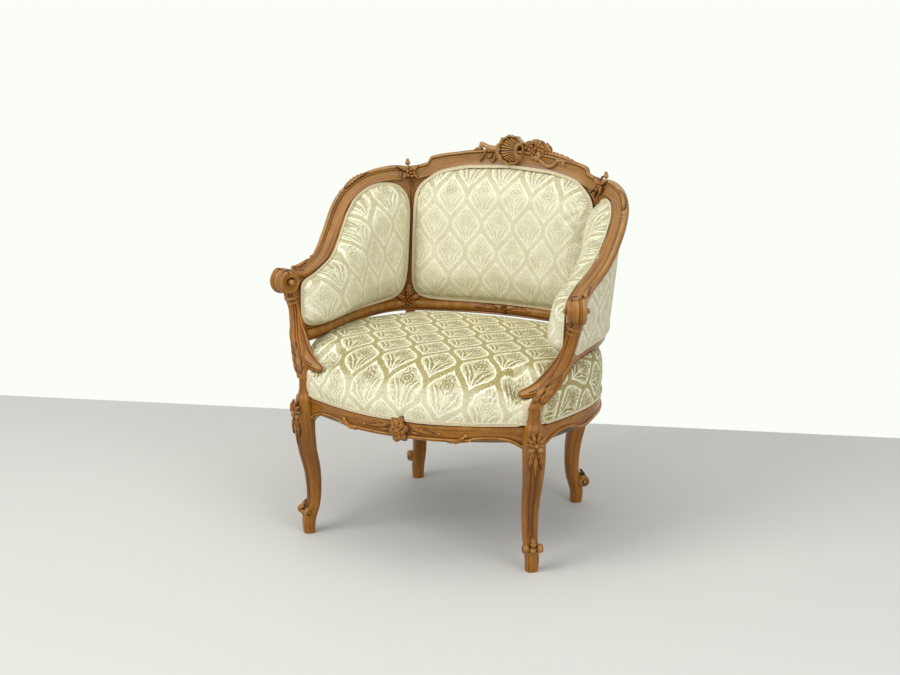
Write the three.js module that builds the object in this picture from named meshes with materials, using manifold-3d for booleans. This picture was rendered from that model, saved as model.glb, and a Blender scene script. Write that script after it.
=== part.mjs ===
// A Louis XV style bergere: a horseshoe show-wood frame, three padded back bays and a tight sprung seat.
// Millimetres, +Z up, the floor at z = 0, the sitter faces -Y, and x = 0 is the plane of symmetry.
import * as THREE from "three";
import { mergeVertices } from "three/addons/utils/BufferGeometryUtils.js";
import Module from "manifold-3d";

const wasm = await Module();
wasm.setup();

// Driving sizes of the whole chair.
const halfWidth = 393; // from the middle to the outer edge of an arm rail
const halfDepth = 346; // from the middle to the face of the crest rail or the front rail
const seatLevel = 348; // floor to the lower edge of the seat cover
const backRise = 576; // seat level to the top of the crest shell

// Clearances between pieces.
const jointGap = 0.3; // wood to wood, a glue line
const clothGap = 0.5; // padding or cloth to the wood that carries it
const overrun = 6; // how far a shape runs past what trims it

// Show-wood sections.
const topRailInner = 21; // from the rail's middle to its inner edge
const topRailOuter = 21;
const topRailThick = 27;
const lowerRailTall = 36;
const lowerRailThick = 28;
const stileWide = 21;
const stileThick = 25;
const seatRailTall = 36;
const seatRailThick = 28;
const tenonThick = 9;
const tenonTall = 22;
const tenonDeep = 12; // into a leg, past the shoulder
const stileTenonDeep = 6; // into a stile or an arm post
const tenonRoot = 16; // buried in the rail

// Legs, arm posts and scrolls.
const footHalf = 14;
const kneeHalf = 24;
const kneeHalfWide = 26;
const footScrollRadius = 12;
const footScrollLong = 50;
const footScrollHeight = 58;
const footScrollReach = 16; // from the leg's line to the scroll's axis
const armPostDeep = 35;
const armPostWide = 28;
const armPostFoot = 395; // height of the joint between leg and arm post
const toeThick = 24; // at its root, tapering to the tip
const toeWide = 34;
const armScrollRadius = 34;
const armScrollLong = 37;
const armScrollEye = 11;
const armScrollEyeProud = 4;
const armSplay = 25; // degrees that scroll and post turn outwards
const quarterTurn = 90;

// Carved forms that stand out from the rails.
const shellHalfWide = 42;
const shellTall = 80;
const shellThick = 24;
const rosetteRadius = 27;
const rosetteThick = 16; // half of it stands proud of the front rail
const kneeFlowerRadius = 15;
const kneeFlowerThick = 7;

// Upholstery.
const seatCrown = 126; // seat level to the top of the seat's crown
const seatSideTall = 104; // upright side of the seat before it rounds over
const seatFrontTall = 48; // the same at the front, under the sitter's knees
const seatBulge = 7; // how far the side swells past the rails
const seatHollowInset = 40; // from the outline to the hollow that holds the springs
const seatHollowTall = 48; // seat level to the hollow's ceiling
const padCrown = 48; // stuffing over the pad's edge, full almost to its outline
const padEdge = 5;
const padBack = 3;
const padTuck = 3; // how far a pad's edge runs past the edge of the rail beside it
const panelTopShare = 0.6; // where an outside panel is tacked, from the top rail's middle to its inner edge
const clothThick = 2;
const gimpTall = 9;
const gimpThick = 3;
const gimpProud = 4.5; // from the seat rails' outline to the gimp's inner face
const blockClear = 4; // from a corner block's top to the seat's lower edge
const squareEdge = 20; // how square the corners of a flat band are, where 2 is an ellipse
const strapWide = 50;
const strapThick = 2;
const straps = 5; // each way
const strapPitch = 100;
const springRows = 3;
const springWire = 3.4;
const springRadius = 32;
const springWaist = 22;
const springTurns = 4;

const padFace = 6; // from the rails' middle to the pad's edge, towards the sitter

// Counts of faces.
const railSides = 8;
const crestSteps = 26;
const armRailSteps = 16;
const lowerRailSteps = 12;
const seatRailSteps = 14;
const seatSegments = 48;
const sheetSegments = 30;
const padSegments = 28;
const coilSides = 4;
const coilSteps = 6;

// Rings of a padded panel's front, of its lining and of its back, as shares of its outline.
const padRings = [0.2, 0.55, 0.82, 0.95, 1];
const liningRings = [0.25, 0.6, 0.95];
const backRings = [...liningRings, 1];

const UP = new THREE.Vector3(0, 0, 1);
const radians = THREE.MathUtils.degToRad;

// Half of the top rail's middle line as shares of half width, half depth and back rise, crest first.
const topRailShares = [
  [0, 0.955, 0.893], [0.229, 0.945, 0.886], [0.382, 0.924, 0.87], [0.499, 0.893, 0.851],
  [0.58, 0.858, 0.83], [0.679, 0.806, 0.813], [0.758, 0.708, 0.816], [0.835, 0.595, 0.806],
  [0.893, 0.488, 0.783], [0.931, 0.384, 0.748], [0.947, 0.292, 0.71], [0.949, 0.208, 0.663],
  [0.941, 0.121, 0.611], [0.929, 0.023, 0.564], [0.911, -0.087, 0.526], [0.901, -0.194, 0.503],
  [0.911, -0.376, 0.477], [0.942, -0.48, 0.486],
];
// How far the rail's face is rolled from lying flat, in degrees, at the same points.
const topRailRolls = [80, 80, 79, 78, 76, 72, 64, 56, 48, 40, 32, 26, 17, 10, 6, 5, 5, 5];
// Reach of the crest's upper edge as shares of topRailOuter, which makes the stepped ears.
const crestReachShares = [1.1, 1.1, 1.15, 1.25, 0.75, 0.95, 1];
const crestJointIndex = 5.7; // the crest rail meets the arm rails just outside the stiles

// Half of the lower back rail's middle line, centre first, on the same shares.
const lowerRailShares = [
  [0, 0.858, 0.222], [0.191, 0.844, 0.222], [0.382, 0.803, 0.222], [0.539, 0.751, 0.222],
  [0.649, 0.702, 0.222], [0.725, 0.63, 0.222], [0.79, 0.5, 0.223], [0.83, 0.35, 0.224],
  [0.852, 0.17, 0.225], [0.845, 0, 0.226], [0.838, -0.17, 0.226], [0.842, -0.33, 0.225],
  [0.865, -0.47, 0.224],
];
const lowerRailRoll = 82;
const lowerStileIndex = 4;

// Half of the seat rails' outer outline as shares of half width and half depth, front centre first.
const seatPlanShares = [
  [0, -0.949], [0.153, -0.94], [0.305, -0.905], [0.483, -0.835], [0.64, -0.755], [0.765, -0.69],
  [0.835, -0.52], [0.888, -0.3], [0.913, -0.08], [0.896, 0.14], [0.827, 0.36], [0.712, 0.55],
  [0.6, 0.69], [0.46, 0.765], [0.29, 0.808], [0, 0.83],
];
const planFrontLeg = 5; // index where the front leg stands
const planRearLeg = 12;
const wholePlan = 2 * (seatPlanShares.length - 1); // indices once round the seat
const seatCentre = new THREE.Vector3(0, -0.06 * halfDepth, 0);

// Leg lines: height share of the seat level, then outward offset and half sizes as shares of the knee's.
const frontFoot = [0.746, -0.688]; // shares of half width and half depth
const rearFoot = [0.575, 0.688];
const cabrioleShares = [
  [0, 0, 0.58, 0.56], [0.1, 0, 0.68, 0.62], [0.215, -0.48, 0.67, 0.67], [0.336, -0.58, 0.74, 0.7],
  [0.477, -0.42, 0.83, 0.78], [0.603, -0.04, 0.9, 0.86], [0.741, 0.19, 0.98, 0.97], [0.87, 0.22, 1, 1],
];
const frontLegTopShares = [[1, 0.15, 0.92, 0.92], [armPostFoot / seatLevel, 0.1, 0.8, 0.8]];
const legTurn = { front: -45, rear: 45 }; // degrees that a leg's outward side turns from +X

// The arm post's middle line as shares of half width, half depth and seat level.
const armPostShares = [
  [0.755, -0.695, armPostFoot / seatLevel], [0.776, -0.668, 1.19], [0.814, -0.616, 1.279],
  [0.86, -0.558, 1.365],
  [0.888, -0.515, 1.466], [0.908, -0.488, 1.566], [0.93, -0.497, 1.66],
];
const armPostGirthShares = [1.3, 1.3, 1.15, 1.02, 0.98, 0.95, 0.95];
const toeShares = [
  [0.85, -0.575, 1.34], [0.79, -0.613, 1.268], [0.725, -0.642, 1.222], [0.656, -0.665, 1.198],
];
const armScrollShares = [0.948, -0.543, 1.762];

// The stile above the seat: half width, half depth and back rise shares.
const stileShares = [
  [0.6, 0.711, 0], [0.618, 0.711, 0.09], [0.638, 0.714, 0.18], [0.655, 0.76, 0.37], [0.664, 0.796, 0.524],
  [0.667, 0.813, 0.68], [0.668, 0.815, 0.8],
];
const stileGirthShares = [1.9, 1.35, 1.15, 1, 1, 1, 1.1];

const colours = {
  walnut: 0x7d5227,
  beech: 0xc09a68,
  velvet: 0xd8cfa8,
  gimp: 0xe6d2aa,
  hessian: 0xb49a6c,
  webbing: 0x8f8466,
  steel: 0x9a9c9e,
  lining: 0x2c2a28,
};
const finishes = {
  walnut: { color: colours.walnut, roughness: 0.4, metalness: 0 },
  beech: { color: colours.beech, roughness: 0.6, metalness: 0 },
  velvet: { color: colours.velvet, roughness: 0.9, metalness: 0 },
  gimp: { color: colours.gimp, roughness: 0.85, metalness: 0 },
  hessian: { color: colours.hessian, roughness: 0.95, metalness: 0 },
  webbing: { color: colours.webbing, roughness: 0.95, metalness: 0 },
  steel: { color: colours.steel, roughness: 0.35, metalness: 1 },
  lining: { color: colours.lining, roughness: 0.95, metalness: 0 },
};

// A closed skin over rings of points, with a fan at each end, or joined end to start when looped.
function skin(rings, looped = false) {
  const sides = rings[0].length;
  const points = rings.flat();
  const faces = [];
  const quad = (a, b, c, d) => faces.push([a, b, c], [a, c, d]);
  const last = looped ? rings.length : rings.length - 1;
  for (let i = 0; i < last; i += 1) {
    const here = i * sides;
    const next = ((i + 1) % rings.length) * sides;
    for (let j = 0; j < sides; j += 1) {
      const k = (j + 1) % sides;
      quad(here + j, here + k, next + k, next + j);
    }
  }
  if (!looped) {
    for (const [ring, flip] of [[0, true], [rings.length - 1, false]]) {
      const middle = new THREE.Vector3();
      rings[ring].forEach((p) => middle.addScaledVector(p, 1 / sides));
      points.push(middle);
      const hub = points.length - 1;
      for (let j = 0; j < sides; j += 1) {
        const a = ring * sides + j;
        const b = ring * sides + ((j + 1) % sides);
        faces.push(flip ? [hub, b, a] : [hub, a, b]);
      }
    }
  }
  const geometry = new THREE.BufferGeometry().setFromPoints(points);
  geometry.setIndex(faces.flat());
  return solid(geometry);
}

// A geometry as a solid that can be cut and joined, turned right side out.
function solid(geometry) {
  const bare = geometry.clone();
  bare.deleteAttribute("normal");
  bare.deleteAttribute("uv");
  const merged = mergeVertices(bare, 1e-4);
  const triVerts = new Uint32Array(merged.index.array);
  const make = () => new wasm.Manifold(
    new wasm.Mesh({ numProp: 3, vertProperties: merged.attributes.position.array, triVerts }),
  );
  const made = make();
  if (made.volume() > 0) return made;
  for (let i = 0; i < triVerts.length; i += 3) {
    [triVerts[i + 1], triVerts[i + 2]] = [triVerts[i + 2], triVerts[i + 1]];
  }
  return make();
}

// The largest body left after a cut, so that no trimmed-off sliver stays.
function largest(made) {
  return made.decompose().reduce((a, b) => (b.volume() > a.volume() ? b : a));
}

const cutBy = (made, cutters) => largest(cutters.reduce((a, b) => a.subtract(b), made));
const joined = (pieces) => pieces.reduce((a, b) => a.add(b));

// A mesh of a solid with one of the finishes.
function piece(name, made, finish) {
  const { vertProperties, triVerts } = made.getMesh();
  const geometry = new THREE.BufferGeometry();
  geometry.setAttribute("position", new THREE.BufferAttribute(vertProperties, 3));
  geometry.setIndex(new THREE.BufferAttribute(triVerts, 1));
  geometry.computeVertexNormals();
  const mesh = new THREE.Mesh(geometry, new THREE.MeshStandardMaterial(finishes[finish]));
  mesh.name = name;
  return mesh;
}

// Points of a rounded oblong, half sizes a and b, as [across, face] pairs.
function roundedOblong(a, b, sides = railSides, squareness = 3) {
  const bend = (v) => Math.sign(v) * Math.abs(v) ** (2 / squareness);
  return Array.from({ length: sides }, (_, i) => {
    const angle = ((i + 0.5) / sides) * 2 * Math.PI;
    return [a * bend(Math.cos(angle)), b * bend(Math.sin(angle))];
  });
}

// Sweeps a section along stations that give a point and its across and face directions.
function sweep(stations, looped = false) {
  return skin(
    stations.map(({ point, across, face, section }) =>
      section.map(([a, f]) => point.clone().addScaledVector(across, a).addScaledVector(face, f))),
    looped,
  );
}

// The same stations with both ends moved outwards, for a cutter that is grown all round.
function stretched(stations, grow) {
  const [first, second] = stations;
  const [before, last] = stations.slice(-2);
  const away = (from, to) => to.point.clone().sub(from.point).setLength(grow);
  const ends = [away(second, first), away(before, last)];
  return stations.map((station, i) => {
    if (i > 0 && i < stations.length - 1) return station;
    return { ...station, point: station.point.clone().add(ends[i ? 1 : 0]) };
  });
}

// Values of a table between its whole indices.
function between(table, index) {
  const low = Math.min(Math.floor(index), table.length - 2);
  return THREE.MathUtils.lerp(table[low], table[low + 1], index - low);
}

// Shares turned to points.
const scaled = (shares, x, y, z, base = 0) =>
  shares.map(([a, b, c]) => new THREE.Vector3(a * x, b * y, base + c * z));

// A smooth line through a half and its mirror image, read at a signed index from the middle.
function mirroredLine(half) {
  const mirrored = half.slice(1).reverse().map((p) => new THREE.Vector3(-p.x, p.y, p.z));
  const line = new THREE.CatmullRomCurve3([...mirrored, ...half], false, "catmullrom", 0.5);
  const reach = half.length - 1;
  const share = (index) => (index + reach) / (2 * reach);
  return {
    reach,
    point: (index) => line.getPoint(share(index)),
    along: (index) => line.getTangent(share(index)),
  };
}

const topLine = mirroredLine(scaled(topRailShares, halfWidth, halfDepth, backRise, seatLevel));
const lowerLine = mirroredLine(scaled(lowerRailShares, halfWidth, halfDepth, backRise, seatLevel));

// The place and directions of a rail's section at a signed index, rolled up from lying flat.
function railFrame(line, index, roll) {
  const along = line.along(index);
  const outward = new THREE.Vector3().crossVectors(UP, along).normalize();
  const turn = radians(roll);
  const across = outward.multiplyScalar(Math.cos(turn)).addScaledVector(UP, Math.sin(turn));
  across.addScaledVector(along, -across.dot(along)).normalize();
  const face = new THREE.Vector3().crossVectors(along, across);
  return { point: line.point(index), along, across, face };
}

const topFrame = (index) => railFrame(topLine, index, between(topRailRolls, Math.abs(index)));
const lowerFrame = (index) => railFrame(lowerLine, index, lowerRailRoll);

// Evenly spaced numbers from one value to another.
const spaced = (from, to, steps) =>
  Array.from({ length: steps + 1 }, (_, i) => THREE.MathUtils.lerp(from, to, i / steps));

// A stretch of the top rail, grown all round where it serves as a cutter.
function topRail(from, to, steps, grow = 0) {
  return sweep(spaced(from, to, steps).map((index) => {
    const away = Math.abs(index);
    const last = crestReachShares.length - 1;
    const reach = topRailOuter * between(crestReachShares, Math.min(away, last - 1e-6));
    const shift = (reach - topRailInner) / 2;
    const section = roundedOblong((reach + topRailInner) / 2 + grow, topRailThick / 2 + grow);
    return { ...topFrame(index), section: section.map(([a, f]) => [a + shift, f]) };
  }));
}

function lowerRail(from, to, steps, grow = 0) {
  const section = roundedOblong(lowerRailTall / 2 + grow, lowerRailThick / 2 + grow);
  return sweep(spaced(from, to, steps).map((index) => ({ ...lowerFrame(index), section })));
}

// An upright post through points, its section turned about the vertical by an angle in degrees.
function post(points, sections, turn) {
  const line = new THREE.CatmullRomCurve3(points, false, "catmullrom", 0.5);
  const outward = new THREE.Vector3(Math.cos(radians(turn)), Math.sin(radians(turn)), 0);
  const steps = 2 * (points.length - 1);
  return sweep(spaced(0, points.length - 1, steps).map((index) => {
    const along = line.getTangent(index / (points.length - 1));
    const whole = index === Math.floor(index);
    const level = Math.min(Math.floor(index), sections.length - 1);
    const section = whole
      ? sections[level]
      : sections[level].map(([a, f], j) => [
        (a + sections[level + 1][j][0]) / 2,
        (f + sections[level + 1][j][1]) / 2,
      ]);
    const lean = Math.min(1, index / 3, (points.length - 1 - index) / 2);
    const upright = UP.clone().lerp(along, lean).normalize();
    const across = outward.clone().addScaledVector(upright, -outward.dot(upright)).normalize();
    return {
      point: line.getPoint(index / (points.length - 1)),
      across,
      face: new THREE.Vector3().crossVectors(upright, across),
      section,
    };
  }));
}

// A short round bar with its middle at a point and its axis along a direction.
function bar(centre, axis, radius, length, sides = 14) {
  const turned = new THREE.CylinderGeometry(radius, radius, length, sides);
  turned.applyQuaternion(new THREE.Quaternion().setFromUnitVectors(
    new THREE.Vector3(0, 1, 0),
    axis.clone().normalize(),
  ));
  turned.translate(centre.x, centre.y, centre.z);
  return solid(turned);
}

// The lower, curved part of a leg with its scrolled foot: points, half sizes and the scroll's place.
function cabriole(foot, turn) {
  const outward = new THREE.Vector3(Math.cos(radians(turn)), Math.sin(radians(turn)), 0);
  const base = new THREE.Vector3(foot[0] * halfWidth, foot[1] * halfDepth, 0);
  const at = ([height, offset]) =>
    base.clone().addScaledVector(outward, offset * kneeHalf).setZ(height * seatLevel);
  const half = ([, , deep, wide]) => [deep * kneeHalf, wide * kneeHalfWide];
  const scroll = base.clone().addScaledVector(outward, footScrollReach - footHalf / 2);
  scroll.z = footScrollHeight;
  return { outward, at, half, scroll };
}

function footScroll({ outward, scroll }) {
  const axis = new THREE.Vector3().crossVectors(UP, outward);
  return bar(scroll, axis, footScrollRadius, footScrollLong);
}

function frontLeg(grow = 0) {
  const line = cabriole(frontFoot, legTurn.front);
  const rows = [...cabrioleShares, ...frontLegTopShares];
  const sections = rows.map(line.half).map(([a, b]) => roundedOblong(a + grow, b + grow, railSides, 2.6));
  const shaft = post(rows.map(line.at), sections, legTurn.front);
  if (grow) return shaft;
  const flower = line.at(cabrioleShares[cabrioleShares.length - 1]);
  const proud = kneeHalf + kneeFlowerThick / 2;
  flower.addScaledVector(line.outward, proud - kneeFlowerThick / 4);
  return joined([shaft, footScroll(line), bar(flower, line.outward, kneeFlowerRadius, kneeFlowerThick)]);
}

// A rear leg runs on above the seat as the stile between the back bays.
function rearLeg(grow = 0) {
  const line = cabriole(rearFoot, legTurn.rear);
  const stile = scaled(stileShares, halfWidth, halfDepth, backRise, seatLevel);
  const leg = cabrioleShares.map(line.at);
  const legSections = cabrioleShares.map(line.half)
    .map(([a, b]) => roundedOblong(a + grow, b + grow, railSides, 2.6));
  const stileSections = stileGirthShares.map((girth) =>
    roundedOblong((girth * stileThick) / 2 + grow, (girth * stileWide) / 2 + grow, railSides, 2.6));
  const shaft = post([...leg, ...stile], [...legSections, ...stileSections], legTurn.rear);
  return grow ? shaft : shaft.add(footScroll(line));
}

function armPost(grow = 0) {
  const points = scaled(armPostShares, halfWidth, halfDepth, seatLevel);
  points[0].z += jointGap - grow;
  const sections = armPostGirthShares.map((girth) =>
    roundedOblong((girth * armPostDeep) / 2 + grow, (girth * armPostWide) / 2 + grow, railSides, 2.6));
  const toe = new THREE.CatmullRomCurve3(scaled(toeShares, halfWidth, halfDepth, seatLevel));
  const blade = spaced(0, 1, 4).map((t) => {
    const along = toe.getTangent(t);
    const face = new THREE.Vector3(-along.z, 0, along.x).normalize();
    const across = new THREE.Vector3().crossVectors(face, along).normalize();
    const wide = (toeWide / 2) * (1 - 0.5 * t) + grow;
    const section = roundedOblong(wide, (toeThick / 2) * (1 - 0.7 * t) + grow, 8, 2.2);
    return { point: toe.getPoint(t), across, face, section };
  });
  return joined([post(points, sections, armSplay - quarterTurn), sweep(stretched(blade, grow))]);
}

// The volute that ends an arm rail, with a round boss on each side.
function armScroll(grow = 0) {
  const [x, y, z] = armScrollShares;
  const centre = new THREE.Vector3(x * halfWidth, y * halfDepth, z * seatLevel);
  const axis = new THREE.Vector3(Math.cos(radians(armSplay)), Math.sin(radians(armSplay)), 0);
  return joined([
    bar(centre, axis, armScrollRadius + grow, armScrollLong + 2 * grow, 20),
    bar(centre, axis, armScrollEye + grow, armScrollLong + 2 * (armScrollEyeProud + grow), 12),
  ]);
}

// The fluted shell at the middle of the crest, standing proud of the rail and above it.
function crestShell(grow = 0) {
  const { point, across, face } = topFrame(0);
  const top = seatLevel + backRise;
  const middle = point.clone().addScaledVector(across, (top - shellTall / 2 - point.z) / across.z);
  const lobes = 7;
  const rings = [[0.86, -0.5], [1, -0.2], [1, 0.15], [0.8, 0.42], [0.42, 0.5]].map(([girth, depth]) =>
    Array.from({ length: 4 * lobes }, (_, i) => {
      const angle = (i / (4 * lobes)) * 2 * Math.PI;
      const scallop = girth * (1 - 0.05 * (i % 4 === 2));
      return middle.clone()
        .add(new THREE.Vector3(scallop * (shellHalfWide + grow) * Math.cos(angle), 0, 0))
        .addScaledVector(across, (scallop * (shellTall / 2 + grow) * Math.sin(angle)) / across.z)
        .addScaledVector(face, depth * (shellThick + 2 * grow) + topRailThick / 2 - shellThick / 6);
    }));
  return skin(rings);
}

// The seat rails' outer outline, and the same line set in towards the middle of the seat.
const seatPlan = (() => {
  const half = seatPlanShares.map(([x, y]) => new THREE.Vector3(x * halfWidth, y * halfDepth, 0));
  const other = half.slice(1, -1).reverse().map((p) => new THREE.Vector3(-p.x, p.y, 0));
  const line = new THREE.CatmullRomCurve3([...half, ...other], true, "catmullrom", 0.5);
  const count = half.length + other.length;
  return (index, inset, height) => {
    const t = (((index / count) % 1) + 1) % 1;
    const along = line.getTangent(t);
    const inward = new THREE.Vector3().crossVectors(UP, along);
    const point = line.getPoint(t).addScaledVector(inward, inset).setZ(height);
    return { point, along, inward, count };
  };
})();

function seatRail(from, to, steps, grow = 0) {
  const section = roundedOblong(seatRailTall / 2 + grow, seatRailThick / 2 + grow, railSides, 4);
  return sweep(spaced(from, to, steps).map((index) => {
    const { point, inward } = seatPlan(index, seatRailThick / 2, seatLevel - seatRailTall / 2);
    return { point, across: UP, face: inward, section };
  }));
}

// The round flower at the middle of the front rail.
function frontRosette(grow = 0) {
  const { point } = seatPlan(0, 0, seatLevel - seatRailTall / 2);
  return bar(point, new THREE.Vector3(0, 1, 0), rosetteRadius + grow, rosetteThick + 2 * grow);
}

// A tenon that runs out of the end of a rail into the post beside it.
function tenon(end, along, deep, grow = 0) {
  const level = new THREE.Vector3(along.x, along.y, 0).normalize();
  const box = new THREE.BoxGeometry(
    tenonRoot + deep + 2 * grow,
    tenonThick + 2 * grow,
    tenonTall + 2 * grow,
  );
  box.applyQuaternion(new THREE.Quaternion().setFromUnitVectors(new THREE.Vector3(1, 0, 0), level));
  const middle = end.clone().addScaledVector(level, (deep - tenonRoot) / 2);
  box.translate(middle.x, middle.y, middle.z);
  return solid(box);
}

const mirror = (made) => made.mirror([1, 0, 0]);

// The place where a rail's middle line leaves a post, found by stepping along the line.
function shoulder(made, pointAt, from, to) {
  const inside = (index) => bar(pointAt(index), UP, jointGap, jointGap, 4).intersect(made).volume() > 0;
  return spaced(from, to, 400).find((index) => !inside(index)) ?? to;
}

// A padded or plain panel between four lines, as a lens of rings with a front and a back.
function panel(surface, frontRings, front, back, rearRings = backRings) {
  const corner = 5; // how square the outline's corners are
  const bend = (v) => Math.sign(v) * Math.abs(v) ** (2 / corner);
  const spot = (ring, j, lift) => {
    const angle = (j / padSegments) * 2 * Math.PI;
    const u = 0.5 + 0.5 * ring * bend(Math.cos(angle));
    const v = 0.5 + 0.5 * ring * bend(Math.sin(angle));
    return surface(u, v, lift);
  };
  const row = (ring, lift) => Array.from({ length: padSegments }, (_, j) => spot(ring, j, lift));
  const fronts = frontRings.map((ring) => row(ring, front(ring)));
  const backs = [...rearRings].reverse().map((ring) => row(ring, back));
  return skin([...fronts, ...backs]);
}

// A bay of the back: u runs along the rails and v up from the lower rail, lifted towards the sitter.
function bay(lowerSpan, topSpan, { low, high, into }) {
  const lower = (u) => {
    const { point, across, face } = lowerFrame(THREE.MathUtils.lerp(...lowerSpan, u));
    return point.addScaledVector(across, lowerRailTall / 2 - into).addScaledVector(face, low);
  };
  const upper = (u) => {
    const { point, across, face } = topFrame(THREE.MathUtils.lerp(...topSpan, u));
    return point.addScaledVector(across, into - topRailInner).addScaledVector(face, high);
  };
  return lifted(lower, upper);
}

// Points between a lower and an upper line, lifted along the normal of the surface between them.
function lifted(lower, upper) {
  const at = (u, v) => lower(u).lerp(upper(u), v);
  const step = 0.01;
  return (u, v, lift) => {
    const alongU = at(Math.min(u + step, 1), v).sub(at(Math.max(u - step, 0), v));
    const normal = alongU.cross(upper(u).sub(lower(u))).normalize();
    return at(u, v).addScaledVector(normal, lift);
  };
}

// Spans of the three bays along the lower and the top line, as shares of the reach from the middle.
const bayShares = {
  left: { lower: [-0.9833, -0.3417], top: [-0.9647, -0.3] },
  centre: { lower: [-0.325, 0.325], top: [-0.2882, 0.2882] },
  right: { lower: [0.3417, 0.9833], top: [0.3, 0.9647] },
};
const onLine = (spanShares, line) => spanShares.map((share) => share * line.reach);

// The cloth panel that closes a bay outside, tacked to the rails' outer faces.
function outsidePanel(lowerSpan, topSpan) {
  const lower = (u) => {
    const { point, across, face } = lowerFrame(THREE.MathUtils.lerp(...lowerSpan, u));
    return point.addScaledVector(across, lowerRailTall / 8)
      .addScaledVector(face, -lowerRailThick / 2 - clothGap - clothThick);
  };
  const upper = (u) => {
    const { point, across, face } = topFrame(THREE.MathUtils.lerp(...topSpan, u));
    return point.addScaledVector(across, -panelTopShare * topRailInner)
      .addScaledVector(face, -topRailThick / 2 - clothGap - clothThick);
  };
  return panel(lifted(lower, upper), backRings, () => 0, -clothThick);
}

// One coil spring of the seat, narrow at its waist.
function spring(x, y, low, high) {
  return sweep(spaced(0, 1, springTurns * coilSteps).map((t) => {
    const angle = t * springTurns * 2 * Math.PI;
    const radius = THREE.MathUtils.lerp(springWaist, springRadius, (2 * t - 1) ** 2);
    const out = new THREE.Vector3(Math.cos(angle), Math.sin(angle), 0);
    const point = new THREE.Vector3(x, y, THREE.MathUtils.lerp(low, high, t)).addScaledVector(out, radius);
    const section = roundedOblong(springWire / 2, springWire / 2, coilSides, 2);
    return { point, across: out, face: UP, section };
  }));
}

// A level sheet over the seat's plan.
function sheet(inset, low, high) {
  const shape = new THREE.Shape(spaced(0, wholePlan, sheetSegments).slice(0, -1).map((index) => {
    const { point } = seatPlan(index, inset, 0);
    return new THREE.Vector2(point.x, point.y);
  }));
  const flat = new THREE.ExtrudeGeometry(shape, { depth: high - low, bevelEnabled: false });
  return solid(flat.translate(0, 0, low));
}

// Webbing straps crossed under the springs, with square gaps between them.
function webbing(inset, low) {
  const gap = strapPitch - strapWide;
  const reach = (straps - 2) / 2;
  const rows = spaced(-reach, reach, straps - 2).map((row) => row * strapPitch);
  const gaps = rows.flatMap((x) => rows.map((y) => {
    const hole = new THREE.BoxGeometry(gap, gap, strapThick + 2 * overrun);
    return solid(hole.translate(x, y + seatCentre.y, low));
  }));
  return cutBy(sheet(inset, low, low + strapThick), gaps);
}

// Rows of the seat's form: inset in bulges, share of the side's height, share of the crown's, shrink.
const seatRows = [
  [-0.4, 0, 0, 0], [0.4, 0.12, 0, 0], [1, 0.45, 0, 0], [0.85, 0.75, 0, 0], [0, 1, 0, 0],
  [-2, 1, 0.35, 0], [-4.8, 1, 0.55, 0], [-4.8, 1, 0.78, 0.13], [-4.8, 1, 0.93, 0.33], [-4.8, 1, 1, 0.65],
];

// Height of the seat's upright side, lower across the front.
function seatSide(index) {
  const away = Math.min(Math.abs(index), wholePlan - Math.abs(index));
  const share = THREE.MathUtils.smoothstep(away, planFrontLeg - 1.5, planFrontLeg + 2.5);
  return THREE.MathUtils.lerp(seatFrontTall, seatSideTall, share);
}

function seatCushion(segments) {
  const rings = seatRows.map(([swell, sideShare, crownShare, shrink]) =>
    spaced(0, wholePlan, segments).slice(0, -1).map((index) => {
      const side = seatSide(index);
      const height = clothGap + sideShare * side + crownShare * (seatCrown - side);
      const { point } = seatPlan(index, -swell * seatBulge, seatLevel + height);
      return point.lerp(seatCentre.clone().setZ(point.z), shrink);
    }));
  const hollow = sheet(seatHollowInset, seatLevel - overrun, seatLevel + seatHollowTall);
  return skin(rings).subtract(hollow);
}

// A length of gimp that covers the lower edge of the seat's cloth.
function seatGimp(from, to, steps) {
  const section = roundedOblong(gimpTall / 2, gimpThick / 2, 4, squareEdge);
  return sweep(spaced(from, to, steps).map((index) => {
    const height = seatLevel + gimpTall / 2 + clothGap;
    const { point, inward } = seatPlan(index, -gimpProud - gimpThick / 2, height);
    return { point, across: UP, face: inward, section };
  }));
}

// A block glued in a corner behind a leg, along the inner faces of two rails.
function cornerBlock(corner) {
  const inset = seatRailThick + 2 * jointGap;
  const arc = spaced(corner - 1.5, corner + 1.2, 6).map((index) => seatPlan(index, inset, 0).point);
  const shape = new THREE.Shape(arc.map((p) => new THREE.Vector2(p.x, p.y)));
  const depth = seatRailTall - overrun - blockClear;
  const block = new THREE.ExtrudeGeometry(shape, { depth, bevelEnabled: false });
  return solid(block.translate(0, 0, seatLevel - seatRailTall + overrun));
}

const uprights = (grow) => ({
  frontLeg: frontLeg(grow),
  rearLeg: rearLeg(grow),
  armPost: armPost(grow),
});
const right = uprights(0);
const sleeve = uprights(jointGap);
const clothSleeve = uprights(clothGap);
const both = (made) => [made, mirror(made)];

// The glue line as a step of a line's index, next to a place on it.
const gapStep = (line, index) => jointGap / line.point(index).distanceTo(line.point(index + 1));
const jointStep = gapStep(topLine, crestJointIndex);
const stileStep = gapStep(lowerLine, lowerStileIndex);
const crest = joined([topRail(-crestJointIndex, crestJointIndex, crestSteps), crestShell()]);
const armRail = joined([
  topRail(crestJointIndex + jointStep, topLine.reach, armRailSteps),
  armScroll(),
]);
const armRailSleeve = joined([
  topRail(crestJointIndex + jointStep, topLine.reach, armRailSteps, jointGap),
  armScroll(jointGap),
]);
const topRailSleeve = topRail(0, crestJointIndex + 1, crestSteps, jointGap);

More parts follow.
